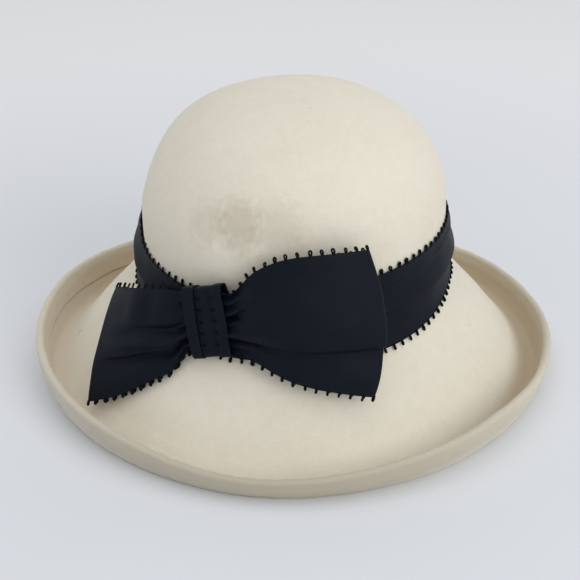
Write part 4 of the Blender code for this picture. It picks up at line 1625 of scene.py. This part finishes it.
@dataclass
class BowKnot:
    """The knot: a ribbon round the bow's middle, both its edges turned to the front.

    Attributes:
        frame: The knot's axes.
        half_tall: Half its height.
        depth: From its back to its front.
        squareness: Exponent of its section, 2 being round.
        left_edge: Where the left edge lies, a share of the half width.
        right_edge: Where the right edge lies.
        layer_gap: From the middle strip's face to the turned edges'.
        rings: Points round it.
        points: Points across its left edge, its middle strip and its right edge.
        thickness: Of the ribbon.
    """

    frame: KnotFrame
    half_tall: float = 19.3
    depth: float = 10.2
    squareness: float = 5.0
    left_edge: float = -0.43
    right_edge: float = 0.57
    layer_gap: float = 0.62
    rings: int = 132
    points: tuple[int, int, int] = (9, 33, 7)
    thickness: float = 0.42

    def across(self) -> tuple[Array, Array]:
        """Return the ribbon's way across the knot.

        It runs from the left edge to the left side, turns under in a half circle, crosses to the
        right side and turns up to the right edge.

        Returns:
            Places from -1 to 1, and distances out from the knot's inner layer.
        """
        round_turn = np.linspace(0.0, np.pi, 7)[1:-1]
        half = self.layer_gap / 2
        width = self.frame.half_width
        left_points, middle_points, right_points = self.points
        left = np.linspace(self.left_edge, -1.0 + half / width, left_points)
        middle = np.linspace(-1.0 + half / width, 1.0 - half / width, middle_points)
        right = np.linspace(1.0 - half / width, self.right_edge, right_points)
        place = np.concatenate([left, left[-1] - half * np.sin(round_turn) / width, middle,
                                right[0] + half * np.sin(round_turn) / width, right])
        out = np.concatenate([np.full_like(left, 2 * half), half + half * np.cos(round_turn),
                              np.zeros_like(middle), half - half * np.cos(round_turn),
                              np.full_like(right, 2 * half)])
        return place, out

    def grid(self) -> Array:
        """Return the knot's points, round it by across it.

        Round it, up and out follow a superellipse. The middle strip has soft upright gathers,
        and the turned edges swell slightly.
        """
        origin, along, up, out = self.frame.axes()
        turn = np.linspace(0.0, 2 * np.pi, self.rings, endpoint=False)[:, None]
        place, raised = (values[None, :] for values in self.across())
        power = 2 / self.squareness
        lift = np.sign(np.cos(turn)) * np.abs(np.cos(turn)) ** power
        swell = np.sign(np.sin(turn)) * np.abs(np.sin(turn)) ** power
        front = np.clip(swell, 0.0, 1.0)
        gathers = 0.28 * np.cos(place * 9.0 + 0.5 * lift) + 0.14 * np.cos(place * 21.0 + 1.0)
        crown = 0.5 * (1 - np.abs(place)) * (raised > 0.3)
        skew = 0.05 * lift * (1 - np.abs(place))
        sideways = self.frame.half_width * (place + skew) * (1 - 0.06 * np.abs(lift))
        tall = self.half_tall - self.layer_gap + raised
        deep = (self.depth - 1.0) / 2 - self.layer_gap + raised
        stands = self.depth / 2 + deep * swell + front * (gathers * (raised < 0.3) + crown)
        return (origin + along * sideways[..., None] + up * (tall * lift)[..., None]
                + out * stands[..., None])

    def build(self, finish: bpy.types.Material) -> tuple[bpy.types.Object, Array]:
        """Make the knot.

        Args:
            finish: Its material.
        Returns:
            The piece and its grid of points.
        """
        grid = self.grid()
        closed = np.concatenate([grid, grid[:1]])
        values = ribbon_values(closed, 0)["ribbon_mm"].reshape(*closed.shape)[:-1].reshape(-1, 3)
        piece = ribbon_piece("bow_knot_ribbon", grid, {"ribbon_mm": values}, self.thickness,
                             finish, ring=True)
        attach(piece, "root")
        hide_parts("bow_knot")
        LOG.info("knot ribbon: %.1f mm wide, %.1f mm round", path_length(grid, 1)[:, -1].mean(),
                 path_length(closed, 0)[-1].mean())
        return piece, grid


@dataclass
class PicotEdging:
    """Rows of small thread loops on the edges of every ribbon.

    Attributes:
        knot: The knot's axes, which say what it covers.
        thread: The loops' material.
        shown_out: How far out the knot's edges lie where loops are made.
        shown_up: How far up and down from the knot's middle.
    """

    knot: KnotFrame
    thread: bpy.types.Material
    shown_out: float = 6.0
    shown_up: float = 17.0

    def edge_lines(self, grid: Array, edge: RibbonEdge) -> tuple[Array, Array, Array]:
        """Return an edge, a line a little further in and the normals at the edge.

        Args:
            grid: Points, with the second direction across the ribbon.
            edge: Which edge.
        Returns:
            The edge's points, those of the second line in from it, and the edge's normals.
        """
        normals = grid_normals(grid, False)
        step = 1 if edge is RibbonEdge.TOP else -1
        return grid[:, edge.value], grid[:, edge.value + 2 * step], normals[:, edge.value]

    def on_band(self, grid: Array) -> bpy.types.Object:
        """Edge the band. At its low edge the loops lie turned on the brim's break."""
        lengthwise = np.swapaxes(grid, 0, 1)
        rows = {RibbonEdge.TOP: PicotRow(twist=14.0, raise_out=6.0),
                RibbonEdge.LOW: PicotRow(twist=70.0, raise_out=4.0, thread=0.62)}
        batches = []
        for edge, row in rows.items():
            line, inner, face = self.edge_lines(lengthwise, edge)
            outwards = np.sum(face[:, :2] * line[:, :2], -1, keepdims=True)
            keep = np.ones(len(line))
            batches.append(row.along(line, inner, face * np.sign(outwards), keep, 41 - edge.value))
        return join_loops("band_picot_loops", batches, self.thread)

    def on_bow(self, grid: Array) -> bpy.types.Object:
        """Edge the bow's ribbon, both layers and round the end folds."""
        rows = {RibbonEdge.TOP: PicotRow(twist=10.0),
                RibbonEdge.LOW: PicotRow(twist=62.0, height=2.7, thread=0.66, root=0.8)}
        batches = []
        for edge, row in rows.items():
            line, inner, face = self.edge_lines(grid, edge)
            batches.append(row.along(line, inner, face, self.knot.clear_of_knot(line),
                                     51 - edge.value))
        return join_loops("bow_picot_loops", batches, self.thread)

    def on_knot(self, grid: Array) -> bpy.types.Object:
        """Edge the knot's ribbon, whose loops lie folded over its middle strip."""
        origin, _, up, out = self.knot.axes()
        row = PicotRow(twist=68.0, scatter=8.0, height=2.8, thread=0.42, raise_out=-2.0)
        batches = []
        for edge in RibbonEdge:
            line, inner, _ = self.edge_lines(grid, edge)
            away = line - origin
            shown = (away @ out > self.shown_out) & (np.abs(away @ up) < self.shown_up)
            face = np.broadcast_to(out, line.shape)
            batches.append(row.along(line, inner, face, shown.astype(float), 61 - edge.value))
        return join_loops("knot_picot_loops", batches, self.thread)


@dataclass
class Studio:
    """Camera, floor and soft light.

    Attributes:
        camera_at: Where the camera stands.
        look_at: Where it looks.
        lens: Focal length, millimetres.
        sensor: Width of its sensor, millimetres.
        floor_half: Half the floor's side, metres.
    """

    camera_at: Triple = (28.4, -626.9, 362.05)
    look_at: Triple = (-0.98, -26.9, 52.0)
    lens: float = 71.57
    sensor: float = 36.0
    floor_half: float = 6.0

    def add_camera(self) -> None:
        """Make the camera at the photograph's angle."""
        data = bpy.data.cameras.new("camera")
        data.lens = self.lens
        data.sensor_width = self.sensor
        data.clip_start = 0.01
        data.clip_end = 50.0
        camera = bpy.data.objects.new("camera", data)
        bpy.context.collection.objects.link(camera)
        place = Vector(self.camera_at) * MM
        camera.location = place
        aim = Vector(self.look_at) * MM - place
        camera.rotation_euler = aim.to_track_quat("-Z", "Y").to_euler()
        bpy.context.scene.camera = camera

    def add_floor(self, finish: bpy.types.Material) -> None:
        """Lay a plain floor under the hat."""
        half = self.floor_half / MM
        corners = np.array([(-half, -half, 0.0), (half, -half, 0.0), (half, half, 0.0),
                            (-half, half, 0.0)])
        floor = Surface("studio_floor", corners, np.array([[0, 1, 2, 3]]), NO_TRIANGLES,
                        {}).make(finish, closed=False)

    def add_lamp(self, name: str, place: Triple, size: float, power: float,
                 colour: Triple) -> None:
        """Add a square area lamp aimed at the hat.

        Args:
            name: Its name.
            place: Metres.
            size: Its side, metres.
            power: Watts.
            colour: Its colour.
        """
        data = bpy.data.lights.new(name, "AREA")
        data.shape = "SQUARE"
        data.size = size
        data.energy = power
        data.color = colour
        lamp = bpy.data.objects.new(name, data)
        bpy.context.collection.objects.link(lamp)
        lamp.location = place
        aim = Vector((0.0, 0.0, 0.06)) - Vector(place)
        lamp.rotation_euler = aim.to_track_quat("-Z", "Y").to_euler()

    def add_light(self) -> None:
        """Add a soft key from the front right, a large one overhead and an even surround."""
        self.add_lamp("key", (1.20, -1.35, 0.95), 1.2, 12.0, (1.0, 0.995, 0.985))
        self.add_lamp("overhead", (0.0, 0.1, 2.0), 1.6, 6.0, (1.0, 1.0, 1.0))
        world = bpy.data.worlds.new("studio surround")
        world.use_nodes = True
        surround = world.node_tree.nodes["Background"]
        surround.inputs["Color"].default_value = (0.97, 0.985, 1.0, 1.0)
        surround.inputs["Strength"].default_value = 0.65
        bpy.context.scene.world = world

    def build(self, finish: bpy.types.Material) -> None:
        """Make the studio, with plain colour management so that tones stay as they are lit."""
        self.add_camera()
        self.add_floor(finish)
        self.add_light()
        bpy.context.scene.view_settings.view_transform = "Standard"


def main() -> None:
    """Build the hat's pieces in order, dress them and report each one."""
    logging.basicConfig(level=logging.INFO, format="%(message)s")
    Effects.make_all()
    felt = FeltFinish().material()
    ribbon = RibbonFinish().material()
    thread = ThreadFinish().material()
    form = FeltForm()
    knot_frame = KnotFrame(form)
    hat = FeltHat(form).build(felt)
    band, band_grid = BandRibbon(form).build(ribbon)
    bow, bow_grid = BowRibbon(form).build(ribbon)
    knot, knot_grid = BowKnot(knot_frame).build(ribbon)
    edging = PicotEdging(knot_frame, thread)
    band_loops = edging.on_band(band_grid)
    bow_loops = edging.on_bow(bow_grid)
    knot_loops = edging.on_knot(knot_grid)
    for piece in (hat, band, bow, knot, band_loops, bow_loops, knot_loops):
        piece.data.calc_loop_triangles()
        LOG.info("%s: %d triangles", piece.name, len(piece.data.loop_triangles))
    Studio().build(FloorFinish().material())


if __name__ == "__main__":
    main()
